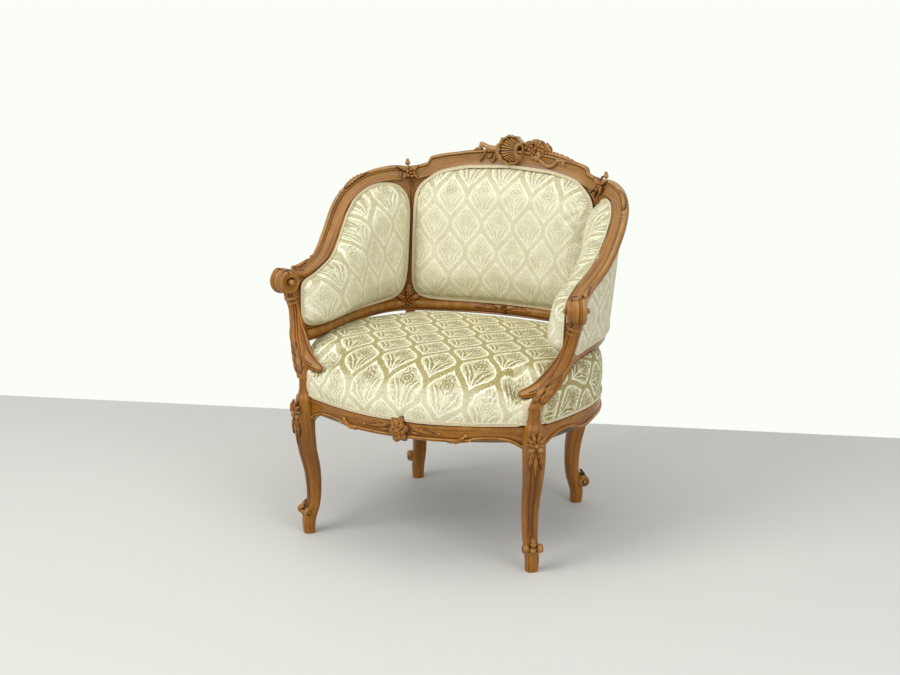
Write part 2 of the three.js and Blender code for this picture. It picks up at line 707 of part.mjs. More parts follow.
// A rail between two posts, its ends trimmed to them and a tenon run into each.
function tenonedRail(raw, pointAt, deep, ends) {
  const trimmed = cutBy(raw, ends.map((end) => end.sleeve));
  const tenons = ends.map((end) => {
    const index = shoulder(end.sleeve, pointAt, end.index, end.towards);
    const step = (end.index - end.towards) / 100;
    const place = pointAt(index);
    const along = pointAt(index + step).sub(pointAt(index - step)).normalize();
    return { place, along };
  });
  return {
    rail: joined([trimmed, ...tenons.map(({ place, along }) => tenon(place, along, deep))]),
    mortises: tenons.map(({ place, along }) => tenon(place, along, deep, jointGap)),
  };
}

const chair = new THREE.Group();
const add = (name, made, finish) => chair.add(piece(name, made, finish));
const seatRailPoint = (index) =>
  seatPlan(index, seatRailThick / 2, seatLevel - seatRailTall / 2).point;
const [legR, legL] = both(sleeve.frontLeg);
const [rearR, rearL] = both(sleeve.rearLeg);
const [postR, postL] = both(sleeve.armPost);

const rails = {
  front_seat_rail: tenonedRail(
    seatRail(-planFrontLeg, planFrontLeg, seatRailSteps),
    seatRailPoint,
    tenonDeep,
    [
      { sleeve: legR, index: planFrontLeg, towards: 0 },
      { sleeve: legL, index: -planFrontLeg, towards: 0 },
    ],
  ),
  right_seat_rail: tenonedRail(
    seatRail(planFrontLeg, planRearLeg, seatRailSteps),
    seatRailPoint,
    tenonDeep,
    [
      { sleeve: legR, index: planFrontLeg, towards: planRearLeg - 2 },
      { sleeve: rearR, index: planRearLeg, towards: planFrontLeg + 2 },
    ],
  ),
  rear_seat_rail: tenonedRail(
    seatRail(planRearLeg, wholePlan - planRearLeg, seatRailSteps),
    seatRailPoint,
    tenonDeep,
    [
      { sleeve: rearR, index: planRearLeg, towards: wholePlan / 2 },
      { sleeve: rearL, index: wholePlan - planRearLeg, towards: wholePlan / 2 },
    ],
  ),
  rear_lower_rail: tenonedRail(
    lowerRail(-lowerStileIndex + stileStep, lowerStileIndex - stileStep, lowerRailSteps),
    lowerLine.point,
    stileTenonDeep,
    [
      { sleeve: rearR, index: lowerStileIndex, towards: 0 },
      { sleeve: rearL, index: -lowerStileIndex, towards: 0 },
    ],
  ),
  right_lower_rail: tenonedRail(
    lowerRail(lowerStileIndex + stileStep, lowerLine.reach, lowerRailSteps),
    lowerLine.point,
    stileTenonDeep,
    [
      { sleeve: rearR, index: lowerStileIndex, towards: lowerLine.reach - 2 },
      { sleeve: postR, index: lowerLine.reach, towards: lowerStileIndex + 2 },
    ],
  ),
};
const mortises = Object.values(rails).flatMap((rail) => rail.mortises);

const frontLegCut = cutBy(right.frontLeg, mortises);
const rearLegCut = cutBy(right.rearLeg, [...mortises, topRailSleeve]);
const armPostCut = cutBy(right.armPost, [...mortises, armRailSleeve, sleeve.frontLeg]);
for (const [side, turn] of [["right", (m) => m], ["left", mirror]]) {
  add(`${side}_front_leg`, turn(frontLegCut), "walnut");
  add(`${side}_rear_leg_and_stile`, turn(rearLegCut), "walnut");
  add(`${side}_arm_post`, turn(armPostCut), "walnut");
  add(`${side}_arm_rail`, turn(armRail), "walnut");
  add(`${side}_seat_rail`, turn(rails.right_seat_rail.rail), "walnut");
  add(`${side}_lower_rail`, turn(rails.right_lower_rail.rail), "walnut");
}
add("crest_rail", crest, "walnut");
add("front_seat_rail", rails.front_seat_rail.rail.add(frontRosette()), "walnut");
add("rear_seat_rail", rails.rear_seat_rail.rail, "walnut");
add("rear_lower_rail", rails.rear_lower_rail.rail, "walnut");
const clothCutters = Object.values(clothSleeve).flatMap(both);
const lowerCutters = [
  lowerRail(-lowerStileIndex, lowerStileIndex, lowerRailSteps, clothGap),
  ...both(lowerRail(lowerStileIndex, lowerLine.reach, lowerRailSteps, clothGap)),
];
const topCutters = [
  crestShell(clothGap),
  topRail(-crestJointIndex, crestJointIndex, crestSteps, clothGap),
  ...both(joined([topRail(crestJointIndex, topLine.reach, armRailSteps, clothGap), armScroll(clothGap)])),
];
const frameCutters = [...clothCutters, ...lowerCutters, ...topCutters];

const cushionCutters = [...clothCutters, ...lowerCutters, frontRosette(clothGap)];
add("seat_cushion", cutBy(seatCushion(seatSegments), cushionCutters), "velvet");
add("front_seat_gimp", cutBy(seatGimp(-planFrontLeg, planFrontLeg, seatRailSteps), cushionCutters), "gimp");
const sideGimp = cutBy(seatGimp(planFrontLeg, planRearLeg, seatRailSteps), clothCutters);
add("right_seat_gimp", sideGimp, "gimp");
add("left_seat_gimp", mirror(sideGimp), "gimp");

// The seat's works, from the top of the springs down to the dust cover.
const hessianTop = seatLevel + seatHollowTall - jointGap;
const webbingTop = seatLevel - seatRailTall - jointGap;
const dustTop = webbingTop - strapThick - jointGap;
const innerInset = seatHollowInset + clothGap;
const hessian = sheet(innerInset, hessianTop - clothThick, hessianTop);
add("seat_hessian", cutBy(hessian, clothCutters), "hessian");
add("seat_webbing", cutBy(webbing(seatRailThick / 3, webbingTop - strapThick), clothCutters), "webbing");
const dust = sheet(seatRailThick / 3, dustTop - clothThick / 2, dustTop);
add("dust_cover", cutBy(dust, clothCutters), "lining");

const springLow = webbingTop + springWire / 2 + jointGap;
const springHigh = hessianTop - clothThick - springWire / 2 - jointGap;
const springPitch = (2 * halfDepth) / (springRows + 1);
spaced(-1, 1, springRows - 1).forEach((across, i) => {
  spaced(-1, 1, springRows - 1).forEach((back, j) => {
    const reach = ((springRows - 1) / 2) * springPitch;
    const coil = spring(across * reach, back * reach + seatCentre.y, springLow, springHigh);
    add(`seat_spring_${i * springRows + j + 1}`, coil, "steel");
  });
});

const railSleeve = seatRail(-planFrontLeg, wholePlan / 2, 3 * seatRailSteps, jointGap);
for (const [name, corner, cutter] of [["front", planFrontLeg, legR], ["rear", planRearLeg, rearR]]) {
  const block = cutBy(cornerBlock(corner), [cutter, railSleeve, ...mortises]);
  add(`right_${name}_corner_block`, block, "beech");
  add(`left_${name}_corner_block`, mirror(block), "beech");
}

// Each bay of the back: a padded inside, a hessian behind it and a cloth panel outside.
for (const [name, spans] of Object.entries(bayShares)) {
  const lower = onLine(spans.lower, lowerLine);
  const top = onLine(spans.top, topLine);
  const surface = bay(lower, top, { low: padFace, high: padFace / 2, into: padTuck });
  const crown = (ring) => padEdge + padCrown * (1 - ring ** 5) ** 0.65;
  const behind = -padBack - clothGap;
  add(`${name}_back_pad`, cutBy(panel(surface, padRings, crown, -padBack), frameCutters), "velvet");
  const lining = panel(surface, liningRings, () => behind - clothThick, behind, liningRings);
  add(`${name}_back_hessian`, cutBy(lining, frameCutters), "hessian");
  add(`${name}_outside_panel`, cutBy(outsidePanel(lower, top), frameCutters), "velvet");
}

// The origin lies under the middle of the whole chair.
const overall = new THREE.Box3().setFromObject(chair);
chair.position.y = -(overall.min.y + overall.max.y) / 2;

export default chair;
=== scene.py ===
"""A bergere chair in carved walnut and cut velvet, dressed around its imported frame."""
import math

import bmesh
import bpy
import numpy as np
from mathutils import Matrix, Vector
from mathutils.bvhtree import BVHTree


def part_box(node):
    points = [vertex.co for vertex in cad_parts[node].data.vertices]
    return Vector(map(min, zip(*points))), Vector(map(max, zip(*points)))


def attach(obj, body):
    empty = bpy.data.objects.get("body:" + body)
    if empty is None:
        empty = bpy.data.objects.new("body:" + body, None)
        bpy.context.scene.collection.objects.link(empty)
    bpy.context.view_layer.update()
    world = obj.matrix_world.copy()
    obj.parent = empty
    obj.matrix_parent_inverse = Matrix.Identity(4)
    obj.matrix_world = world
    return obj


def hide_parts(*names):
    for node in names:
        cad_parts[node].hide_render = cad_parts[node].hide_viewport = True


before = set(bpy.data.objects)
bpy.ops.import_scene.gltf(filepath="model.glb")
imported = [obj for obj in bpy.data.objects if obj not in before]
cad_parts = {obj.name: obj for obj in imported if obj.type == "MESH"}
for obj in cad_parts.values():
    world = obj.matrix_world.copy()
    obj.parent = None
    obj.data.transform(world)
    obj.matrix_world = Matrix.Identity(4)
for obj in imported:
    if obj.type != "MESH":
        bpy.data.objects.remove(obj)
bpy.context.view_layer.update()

# The chair's driving sizes, in metres, as its frame was made.
HALF_WIDTH = 0.393
HALF_DEPTH = 0.346
SEAT_LEVEL = 0.348
BACK_RISE = 0.576
ROSETTE_THICK = 0.016
FRONT_SHARE = 0.949  # the front rail's face as a share of the half depth
MM = 0.001

# The frame is centred over its own box, so everything is moved by the same step.
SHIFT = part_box("front_seat_rail")[0].y + FRONT_SHARE * HALF_DEPTH + ROSETTE_THICK / 2
UP = np.array([0.0, 0.0, 1.0])

# Sections of the show-wood.
RAIL_INNER = 0.021
RAIL_OUTER = 0.021
RAIL_HALF_THICK = 0.0135
LOWER_HALF_TALL = 0.018
LOWER_HALF_THICK = 0.014
SEAT_RAIL_TALL = 0.036
SEAT_RAIL_THICK = 0.028
KNEE_HALF = 0.024
KNEE_HALF_WIDE = 0.026
SHELL_HALF_WIDE = 0.039
SHELL_TALL = 0.080

# Lines of the frame as shares of half width, half depth and back rise.
TOP_SHARES = [
    (0, 0.955, 0.893), (0.229, 0.945, 0.886), (0.382, 0.924, 0.87), (0.499, 0.893, 0.851),
    (0.58, 0.858, 0.83), (0.679, 0.806, 0.813), (0.758, 0.708, 0.816), (0.835, 0.595, 0.806),
    (0.893, 0.488, 0.783), (0.931, 0.384, 0.748), (0.947, 0.292, 0.71), (0.949, 0.208, 0.663),
    (0.941, 0.121, 0.611), (0.929, 0.023, 0.564), (0.911, -0.087, 0.526), (0.901, -0.194, 0.503),
    (0.911, -0.376, 0.477), (0.942, -0.48, 0.486),
]
TOP_ROLLS = [80, 80, 79, 78, 76, 72, 64, 56, 48, 40, 32, 26, 17, 10, 6, 5, 5, 5]
CREST_REACH_SHARES = [1.1, 1.1, 1.15, 1.25, 0.75, 0.95, 1]
LOWER_SHARES = [
    (0, 0.858, 0.222), (0.191, 0.844, 0.222), (0.382, 0.803, 0.222), (0.539, 0.751, 0.222),
    (0.649, 0.702, 0.222), (0.72, 0.63, 0.222), (0.777, 0.5, 0.223), (0.808, 0.35, 0.224),
    (0.826, 0.17, 0.225), (0.824, 0, 0.226), (0.824, -0.17, 0.226), (0.835, -0.33, 0.225),
    (0.865, -0.47, 0.224),
]
LOWER_ROLL = 82
SEAT_PLAN_SHARES = [
    (0, -0.949), (0.153, -0.94), (0.305, -0.905), (0.483, -0.835), (0.64, -0.755), (0.765, -0.69),
    (0.835, -0.52), (0.888, -0.3), (0.913, -0.08), (0.896, 0.14), (0.827, 0.36), (0.712, 0.55),
    (0.6, 0.69), (0.46, 0.765), (0.29, 0.808), (0, 0.83),
]
WHOLE_PLAN = 2 * (len(SEAT_PLAN_SHARES) - 1)
CABRIOLE_SHARES = [
    (0, 0, 0.58, 0.56), (0.1, 0, 0.68, 0.62), (0.215, -0.48, 0.67, 0.67), (0.336, -0.58, 0.74, 0.7),
    (0.477, -0.42, 0.83, 0.78), (0.603, -0.04, 0.9, 0.86), (0.741, 0.19, 0.98, 0.97), (0.87, 0.22, 1, 1),
]
FOOT_SHARES = {"front": (0.746, -0.688), "rear": (0.575, 0.688)}
LEG_TURN = {"front": -45, "rear": 45}
FRONT_TOP_SHARES = [(0.985, 0.16, 0.86, 0.9), (1.02, 0.14, 0.66, 0.64), (1.06, 0.12, 0.57, 0.54), (1.135, 0.1, 0.57, 0.54)]
FEATURE_TURN = -58
ARM_POST_SHARES = [
    (0.755, -0.695, 1.135), (0.776, -0.668, 1.19), (0.814, -0.616, 1.279), (0.86, -0.558, 1.365),
    (0.888, -0.515, 1.466), (0.908, -0.488, 1.566), (0.93, -0.497, 1.66),
]
ARM_POST_GIRTHS = [1.3, 1.3, 1.15, 1.02, 0.98, 0.95, 0.95]
ARM_POST_DEEP = 0.035
ARM_POST_WIDE = 0.028
ARM_SPLAY = 25
TOE_SHARES = [(0.85, -0.575, 1.34), (0.79, -0.613, 1.268), (0.725, -0.642, 1.222), (0.645, -0.668, 1.191)]
SCROLL_SHARES = (0.948, -0.543, 1.762)
SCROLL_RADIUS = 0.034
SCROLL_LONG = 0.037
STILE_SHARES = [
    (0.6, 0.711, 0), (0.618, 0.711, 0.09), (0.638, 0.714, 0.18), (0.655, 0.76, 0.37), (0.664, 0.796, 0.524),
    (0.667, 0.813, 0.68), (0.668, 0.815, 0.8),
]
STILE_GIRTHS = [1.9, 1.35, 1.15, 1, 1, 1, 1.1]
STILE_WIDE = 0.021
STILE_THICK = 0.025


# Lines and directions.
def unit(vectors):
    """Vectors at length one."""
    vectors = np.asarray(vectors, float)
    return vectors / np.maximum(np.linalg.norm(vectors, axis=-1, keepdims=True), 1e-12)


def smooth_line(points, closed=False):
    """A smooth line through points: a function from indices to places and directions."""
    points = np.asarray(points, float)
    count = len(points)
    padded = np.vstack([2 * points[0] - points[1], points, 2 * points[-1] - points[-2]])

    def read(index):
        index = np.asarray(index, float).reshape(-1)
        low = np.floor(index).astype(int)
        if not closed:
            low = np.clip(low, 0, count - 2)
        near = [points[(low + k) % count] if closed else padded[low + 1 + k] for k in (-1, 0, 1, 2)]
        t = (index - low)[:, None]
        slope_in, slope_out = (near[2] - near[0]) / 2, (near[3] - near[1]) / 2
        cube = 2 * near[1] - 2 * near[2] + slope_in + slope_out
        square = -3 * near[1] + 3 * near[2] - 2 * slope_in - slope_out
        place = cube * t**3 + square * t**2 + slope_in * t + near[1]
        return place, unit(3 * cube * t**2 + 2 * square * t + slope_in)

    return read


def scaled(shares, tall, base=0.0):
    """Shares of half width, half depth and a height as places on the chair."""
    return np.array([(a * HALF_WIDTH, b * HALF_DEPTH + SHIFT, base + c * tall) for a, b, c in shares])


def mirrored_line(half):
    """A smooth line through a half and its mirror image, read at signed indices from the middle."""
    other = half[1:][::-1] * np.array([-1, 1, 1])
    read = smooth_line(np.vstack([other, half]))
    return lambda index: read(np.asarray(index, float) + len(half) - 1)


top_line = mirrored_line(scaled(TOP_SHARES, BACK_RISE, SEAT_LEVEL))
lower_line = mirrored_line(scaled(LOWER_SHARES, BACK_RISE, SEAT_LEVEL))


def rail_frame(line, index, roll):
    """Place, along, across and face directions of a rail, rolled up from lying flat."""
    place, along = line(index)
    outward = unit(np.cross(UP, along))
    turn = np.radians(roll).reshape(-1, 1)
    across = outward * np.cos(turn) + UP * np.sin(turn)
    across = unit(across - along * np.sum(across * along, axis=1, keepdims=True))
    return place, along, across, np.cross(along, across)


def top_frame(index):
    index = np.asarray(index, float).reshape(-1)
    return rail_frame(top_line, index, np.interp(np.abs(index), range(len(TOP_ROLLS)), TOP_ROLLS))


def lower_frame(index):
    index = np.asarray(index, float).reshape(-1)
    return rail_frame(lower_line, index, np.full(len(index), float(LOWER_ROLL)))


def seat_plan(index, inset=0.0, height=0.0):
    """Place, along and inward direction on the seat's outline, set in and raised."""
    place, along = _plan(index)
    inward = np.cross(UP, along)
    place = place + inward * np.reshape(inset, (-1, 1))
    place[:, 2] = height
    return place, along, inward


_half_plan = np.array([(a * HALF_WIDTH, b * HALF_DEPTH + SHIFT, 0) for a, b in SEAT_PLAN_SHARES])
_plan = smooth_line(np.vstack([_half_plan, _half_plan[1:-1][::-1] * np.array([-1, 1, 1])]), closed=True)


def finer(rows, count):
    """Rows of vectors read off at a finer, even count."""
    rows = np.asarray(rows, float)
    even = np.linspace(0, len(rows) - 1, count)
    return np.stack([np.interp(even, range(len(rows)), rows[:, k]) for k in range(3)], axis=1)


def transported(path):
    """Side and out directions that follow a path without twisting."""
    along = unit(np.gradient(path, axis=0))
    side = unit(np.cross(along[0], UP if abs(along[0][2]) < 0.9 else np.array([1.0, 0, 0])))
    sides = [side]
    for direction in along[1:]:
        side = unit(side - direction * np.dot(side, direction))
        sides.append(side)
    sides = np.array(sides)
    return sides, np.cross(along, sides)


class Carving:
    """A piece of show-wood or cloth as it is built up: points, faces, grain places and tones.

    Grain places run along, across and into the piece in metres; a tone is 0 on a worn edge, which the walnut lightens
    partly as a painted highlight, and 1 in a recess, which it darkens as painted shade."""

    def __init__(self):
        self.points, self.faces, self.grain, self.tone = [], [], [], []

    def grid(self, points, tone=0.3, around=False, closed=False, ends=False):
        """Adds a grid of points, wrapped around or closed on itself, with or without its ends filled."""
        rows, columns = points.shape[:2]
        base = len(self.points)
        middles = points.mean(axis=1)
        along = np.concatenate([[0], np.cumsum(np.linalg.norm(np.diff(middles, axis=0), axis=1))])
        steps = np.linalg.norm(np.diff(points, axis=1), axis=2).mean(axis=0)
        across = np.concatenate([[0], np.cumsum(steps)])
        grain = np.stack(np.broadcast_arrays(along[:, None], across[None, :], base * MM), axis=-1)
        self.points.extend(points.reshape(-1, 3))
        self.grain.extend(grain.reshape(-1, 3))
        self.tone.extend(np.broadcast_to(tone, (rows, columns)).reshape(-1))
        for i in range(rows if closed else rows - 1):
            here, following = base + i * columns, base + ((i + 1) % rows) * columns
            for j in range(columns if around else columns - 1):
                k = (j + 1) % columns
                self.faces.append((here + j, here + k, following + k, following + j))
        if ends:
            self.faces.append(tuple(range(base + columns - 1, base - 1, -1)))
            last = base + (rows - 1) * columns
            self.faces.append(tuple(range(last, last + columns)))
        return self

    def sweep(self, place, across, face, profiles, ends=True, closed=False):
        """Adds a moulding: rows of (across, face, tone) carried along places."""
        profiles = np.asarray(profiles, float)
        if profiles.ndim == 2:
            profiles = np.broadcast_to(profiles, (len(place),) + profiles.shape)
        points = place[:, None] + across[:, None] * profiles[..., :1] + face[:, None] * profiles[..., 1:2]
        return self.grid(points, profiles[..., 2], around=True, ends=ends, closed=closed)

    def roll(self, path, radius, sides=12, tone=0.15, flat=1.0):
        """Adds a round or flattened cord of wood along a path, with a radius at each point."""
        path = np.asarray(path, float)
        side, out = transported(path)
        turn = np.linspace(0, 2 * math.pi, sides, endpoint=False)
        radius = np.broadcast_to(radius, len(path)).reshape(-1, 1, 1)
        ring = side[:, None] * np.cos(turn)[None, :, None] + out[:, None] * np.sin(turn)[None, :, None] * flat
        return self.grid(path[:, None] + ring * radius, tone, around=True, ends=True)

    def leaf(self, path, side, out, half_width, height, lobes=4, curl=0.0):
        """Adds an acanthus leaf that lies along a path, its edge notched into lobes and its veins cut in."""
        count = max(len(path), 9 * lobes)
        path, side, out = (finer(rows, count) for rows in (path, side, out))
        t = np.linspace(0, 1, count)[:, None]
        s = np.linspace(-1, 1, 17)[None, :]
        body = np.sin(math.pi * np.clip(t, 0.004, 0.996) ** 0.75) ** 0.7
        notch = np.abs(np.sin(math.pi * (lobes * t - 0.5 * np.abs(s)))) ** 0.55
        tip = np.abs(np.sin(math.pi * (lobes * t - 0.5))) ** 0.55
        wide = half_width * body * (0.55 + 0.45 * tip)
        flank = (1 - s**2) ** 0.35 * (0.45 + 0.55 * (1 - (1 - notch) * np.abs(s) ** 0.7))
        vein = 0.45 * np.exp(-((s / 0.13) ** 2)) * (1 - t)
        rise = height * body**0.5 * (flank - vein) - 0.3 * height * (np.abs(s) > 0.99)
        points = path[:, None] + side[:, None] * (s * wide)[..., None]
        points = points + out[:, None] * (rise + curl * t**3)[..., None]
        return self.grid(points, np.clip(1.3 - 1.35 * rise / height, 0, 1))

    def palmette(self, centre, right, up, out, size, fingers=6):
        """Adds a fan of rounded fingers with a bead at each tip, spread from its foot."""
        for angle in np.radians(np.linspace(-82, 82, fingers)):
            way = up * math.cos(angle) + right * math.sin(angle)
            reach = size * (1 - 0.22 * abs(angle))
            t = np.linspace(0, 1, 12)[:, None]
            path = centre + way * reach * (0.15 + 0.85 * t) + out * size * 0.12 * np.sin(math.pi * t)
            across = np.repeat(np.cross(out, way)[None], 12, axis=0)
            self.leaf(path, across, np.repeat(out[None], 12, axis=0), size * 0.24, size * 0.17, lobes=1)
            self.ball(centre + way * reach * 0.9 + out * size * 0.08, size * 0.085)
        return self.ball(centre + out * size * 0.1, size * 0.2)

    def flower(self, centre, right, up, out, radius, height, petals=6):
        """Adds a carved flower: lobed petals round a domed eye."""
        rho = np.linspace(0, 1, 15)[:, None]
        theta = np.linspace(0, 2 * math.pi, petals * 10, endpoint=False)[None, :]
        lobe = np.abs(np.cos(petals * theta / 2)) ** 0.7
        outline = radius * (0.74 + 0.26 * lobe)
        eye = 0.27
        petal = np.sin(math.pi * np.clip((rho - eye) / (1 - eye), 0, 1) ** 0.8) * (0.3 + 0.7 * lobe)
        dome = np.sqrt(np.clip(1 - (rho / eye) ** 2, 0, 1))
        rise = height * np.where(rho < eye, 0.25 + 0.7 * dome, 0.15 + 0.75 * petal) - 0.4 * height * (rho > 0.99)
        flat = right * (rho * outline * np.cos(theta))[..., None] + up * (rho * outline * np.sin(theta))[..., None]
        return self.grid(centre + flat + out * rise[..., None], np.clip(1.0 - rise / height, 0, 1), around=True)

    def ball(self, centre, radius, tone=0.05):
        """Adds a berry or bead."""
        angle = np.linspace(0.02, math.pi - 0.02, 10)[:, None]
        turn = np.linspace(0, 2 * math.pi, 16, endpoint=False)[None, :]
        flat = [np.sin(angle) * np.cos(turn), np.sin(angle) * np.sin(turn), np.cos(angle) + 0 * turn]
        return self.grid(centre + radius * np.stack(flat, axis=-1), tone, around=True)

    def spiral(self, centre, start, up, out, radius, turns, thick, rise=0.0):
        """Adds a volute: a cord that winds in to its eye, starting in one direction."""
        t = np.linspace(0, 1, int(26 * turns) + 6)
        reach = radius * (1 - t) ** 0.9 + thick * 0.2
        angle = turns * 2 * math.pi * t
        path = centre + start * (reach * np.cos(angle))[:, None] + up * (reach * np.sin(angle))[:, None]
        path = path + out * (rise * t)[:, None]
        self.roll(path, thick * (1 - 0.45 * t), tone=0.12)
        return self.ball(centre + out * rise, thick * 1.15)

    def mirrored(self):
        """The same piece for the other side of the chair."""
        other = Carving()
        other.points = [np.array((-p[0], p[1], p[2])) for p in self.points]
        other.faces = [face[::-1] for face in self.faces]
        other.grain, other.tone = list(self.grain), list(self.tone)
        return other

    def make(self, name, material, slot, nodes=(), sharp=50):
        """The finished piece as an object that rides on the chair and stands for its frame nodes."""
        mesh = bpy.data.meshes.new(name)
        mesh.from_pydata([tuple(p) for p in self.points], [], self.faces)
        mesh.attributes.new("grain", "FLOAT_VECTOR", "POINT").data.foreach_set("vector", np.ravel(self.grain))
        mesh.attributes.new("recess", "FLOAT", "POINT").data.foreach_set("value", np.ravel(self.tone))
        mesh.materials.append(material)
        tidy = bmesh.new()
        tidy.from_mesh(mesh)
        bmesh.ops.recalc_face_normals(tidy, faces=tidy.faces)
        tidy.to_mesh(mesh)
        tidy.free()
        mesh.shade_smooth()
        mesh.set_sharp_from_angle(angle=math.radians(sharp))
        piece = bpy.data.objects.new(name, mesh)
        bpy.context.scene.collection.objects.link(piece)
        return dressed(piece, nodes)


def dressed(piece, nodes=()):
    """A piece that rides on the chair and stands for frame nodes."""
    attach(piece, "root")
    if nodes:
        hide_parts(*nodes)
    return piece


def fluted(half_a, half_b, grooves=(), depth=0.0015, width=0.16, squareness=2.6, count=48):
    """A rounded oblong with grooves cut at the given angles, as (across, face, tone) rows."""
    turn = (np.arange(count) + 0.5) / count * 2 * math.pi
    bent = lambda v: np.sign(v) * np.abs(v) ** (2 / squareness)
    cut = np.zeros(count)
    for groove in grooves:
        away = np.angle(np.exp(1j * (turn - math.radians(groove))))
        cut = np.maximum(cut, np.exp(-((away / width) ** 2)))
    shrink = 1 - depth * cut / min(half_a, half_b)
    # The tone column rises in the grooves, where the walnut paints shade.
    return np.stack([half_a * bent(np.cos(turn)) * shrink, half_b * bent(np.sin(turn)) * shrink, 0.22 + 220 * depth * cut], axis=1)


# Materials.
def colour(code, alpha=1.0):
    """An sRGB hex colour as linear light."""
    parts = [int(code[i:i + 2], 16) / 255 for i in (1, 3, 5)]
    return tuple(c / 12.92 if c <= 0.04045 else ((c + 0.055) / 1.055) ** 2.4 for c in parts) + (alpha,)


class Shader:
    """A material as it is built up from nodes."""

    def __init__(self, name):
        self.material = bpy.data.materials.new(name)
        self.material.use_nodes = True
        self.tree = self.material.node_tree
        self.tree.nodes.clear()

    def add(self, kind, *inputs, out=0, named=None, stops=None, **settings):
        """Adds a node, its operation after a dot, with inputs in order or by name, and gives its output."""
        kind, _, operation = kind.partition(".")
        node = self.tree.nodes.new("ShaderNode" + kind)
        if operation:
            node.operation = operation
        for key, value in settings.items():
            setattr(node, key, value)
        if stops:
            ramp = node.color_ramp
            while len(ramp.elements) < len(stops):
                ramp.elements.new(0.5)
            for element, (position, tint) in zip(ramp.elements, stops):
                element.position, element.color = position, colour(tint) if isinstance(tint, str) else (tint,) * 3 + (1,)
        pairs = list(zip(node.inputs, inputs)) + [(node.inputs[k], v) for k, v in (named or {}).items()]
        for socket, value in pairs:
            if isinstance(value, bpy.types.NodeSocket):
                self.tree.links.new(value, socket)
            elif value is not None:
                socket.default_value = value
        return node.outputs[out] if len(node.outputs) else node

    def finish(self, bump=None, strength=0.5, distance=MM, **surface):
        """Ends the material with a surface whose inputs are given by name, words joined by _."""
        named = {key.replace("_", " "): value for key, value in surface.items()}
        if bump is not None:
            named["Normal"] = self.add("Bump", named={"Height": bump, "Strength": strength, "Distance": distance})
        lit = self.add("BsdfPrincipled", named=named)
        self.add("OutputMaterial", lit)
        return self.material


def walnut(name, dark, mid, light, deep, wear_and_highlight=0.55):
    """Polished walnut: long grain, pores, painted shade in the recesses and rubbed, paler edges that also carry a
    painted highlight.
    """
    s = Shader(name)
    grain = s.add("Attribute", attribute_name="grain", out=1)
    recess = s.add("Attribute", attribute_name="recess", out=2)
    place = s.add("TexCoord", out=3)
    drift = s.add("TexNoise", place, named={"Scale": 6.0, "Detail": 3.0}, out=0)
    bent = s.add("VectorMath.MULTIPLY_ADD", s.add("TexNoise", place, named={"Scale": 14.0}, out=1), (0.004,) * 3, grain)
    long = s.add("VectorMath.MULTIPLY", bent, (7.0, 150.0, 11.0))
    figure = s.add("TexNoise", long, named={"Scale": 1.0, "Detail": 5.0, "Roughness": 0.62})
    fine = s.add("TexNoise", s.add("VectorMath.MULTIPLY", bent, (60.0, 1500.0, 11.0)), named={"Scale": 1.0, "Detail": 2.0})
    pores = s.add("TexVoronoi", s.add("VectorMath.MULTIPLY", bent, (170.0, 1700.0, 11.0)), named={"Scale": 1.0})
    pore = s.add("MapRange", pores, 0.05, 0.32, 1.0, 0.0)
    mixed = s.add("Math.ADD", s.add("Math.MULTIPLY", figure, 0.72), s.add("Math.MULTIPLY", fine, 0.28))
    tint = s.add("ValToRGB", mixed, stops=[(0.3, dark), (0.5, mid), (0.68, light)])
    tint = s.add("MixRGB", s.add("Math.MULTIPLY", pore, 0.45), tint, colour(deep))
    tint = s.add("MixRGB", s.add("MapRange", drift, 0.35, 0.7, 0.0, 0.3), tint, colour(dark))
    # Painted shade: the deeper a recess, the more the wood is darkened towards the deep colour.
    hollow = s.add("MapRange", recess, 0.34, 0.95, 0.0, 0.86)
    tint = s.add("MixRGB", hollow, tint, colour(deep))
    # Wear and painted highlight: raised edges and beads are lightened to a pale gold, in patches.
    patchy = s.add("MapRange", s.add("TexNoise", place, named={"Scale": 45.0, "Detail": 3.0}), 0.4, 0.62, 0.35, 1.0)
    rubbed_and_highlit = s.add("Math.MULTIPLY", s.add("MapRange", recess, 0.26, 0.02, 0.0, wear_and_highlight), patchy)
    tint = s.add("MixRGB", rubbed_and_highlit, tint, colour("#d2a860"))
    # Painted light: towards the top, where the lamps fall on it and the bright room is reflected in it, the wood is
    # lightened to a dull gold; the recesses are left out.
    height = s.add("SeparateXYZ", place, out=2)
    painted_top_light = s.add("Math.MULTIPLY", s.add("MapRange", height, 0.5, 0.92, 0.0, 0.42), s.add("MapRange", recess, 0.5, 0.2, 0.0, 1.0))
    tint = s.add("MixRGB", painted_top_light, tint, colour("#ab8c62"))
    rough = s.add("MapRange", recess, 0.0, 1.0, 0.36, 0.62)
    height = s.add("Math.SUBTRACT", s.add("Math.MULTIPLY", fine, 0.5), pore)
    return s.finish(
        height, 0.22, 0.0003, Base_Color=tint, Roughness=rough, Coat_Weight=0.22, Coat_Roughness=0.14,
        Specular_IOR_Level=0.26,
    )


def woven(s, cloth, pitch):
    """Threads over and under each other at a pitch: height and a slow shade change."""
    across = s.add("VectorMath.SCALE", cloth, named={"Scale": math.pi / pitch})
    x = s.add("SeparateXYZ", across, out=0)
    y = s.add("SeparateXYZ", across, out=1)
    over = s.add("Math.MULTIPLY", s.add("Math.SINE", x), s.add("Math.SINE", y))
    return s.add("MapRange", over, -1.0, 1.0, 0.0, 1.0)


# Leaves in each cell of the velvet: place in millimetres, tilt and half lengths, mirrored about the middle.
LEAVES = (
    ((23.0, -3.0, 0), 0.9, (14.0, 8.6, 1)), ((12.0, -22.0, 0), 1.2, (16.0, 8.8, 1)),
    ((9.0, 36.0, 0), 1.15, (12.0, 5.6, 1)), ((5.0, -44.0, 0), 1.3, (9.0, 4.4, 1)),
)


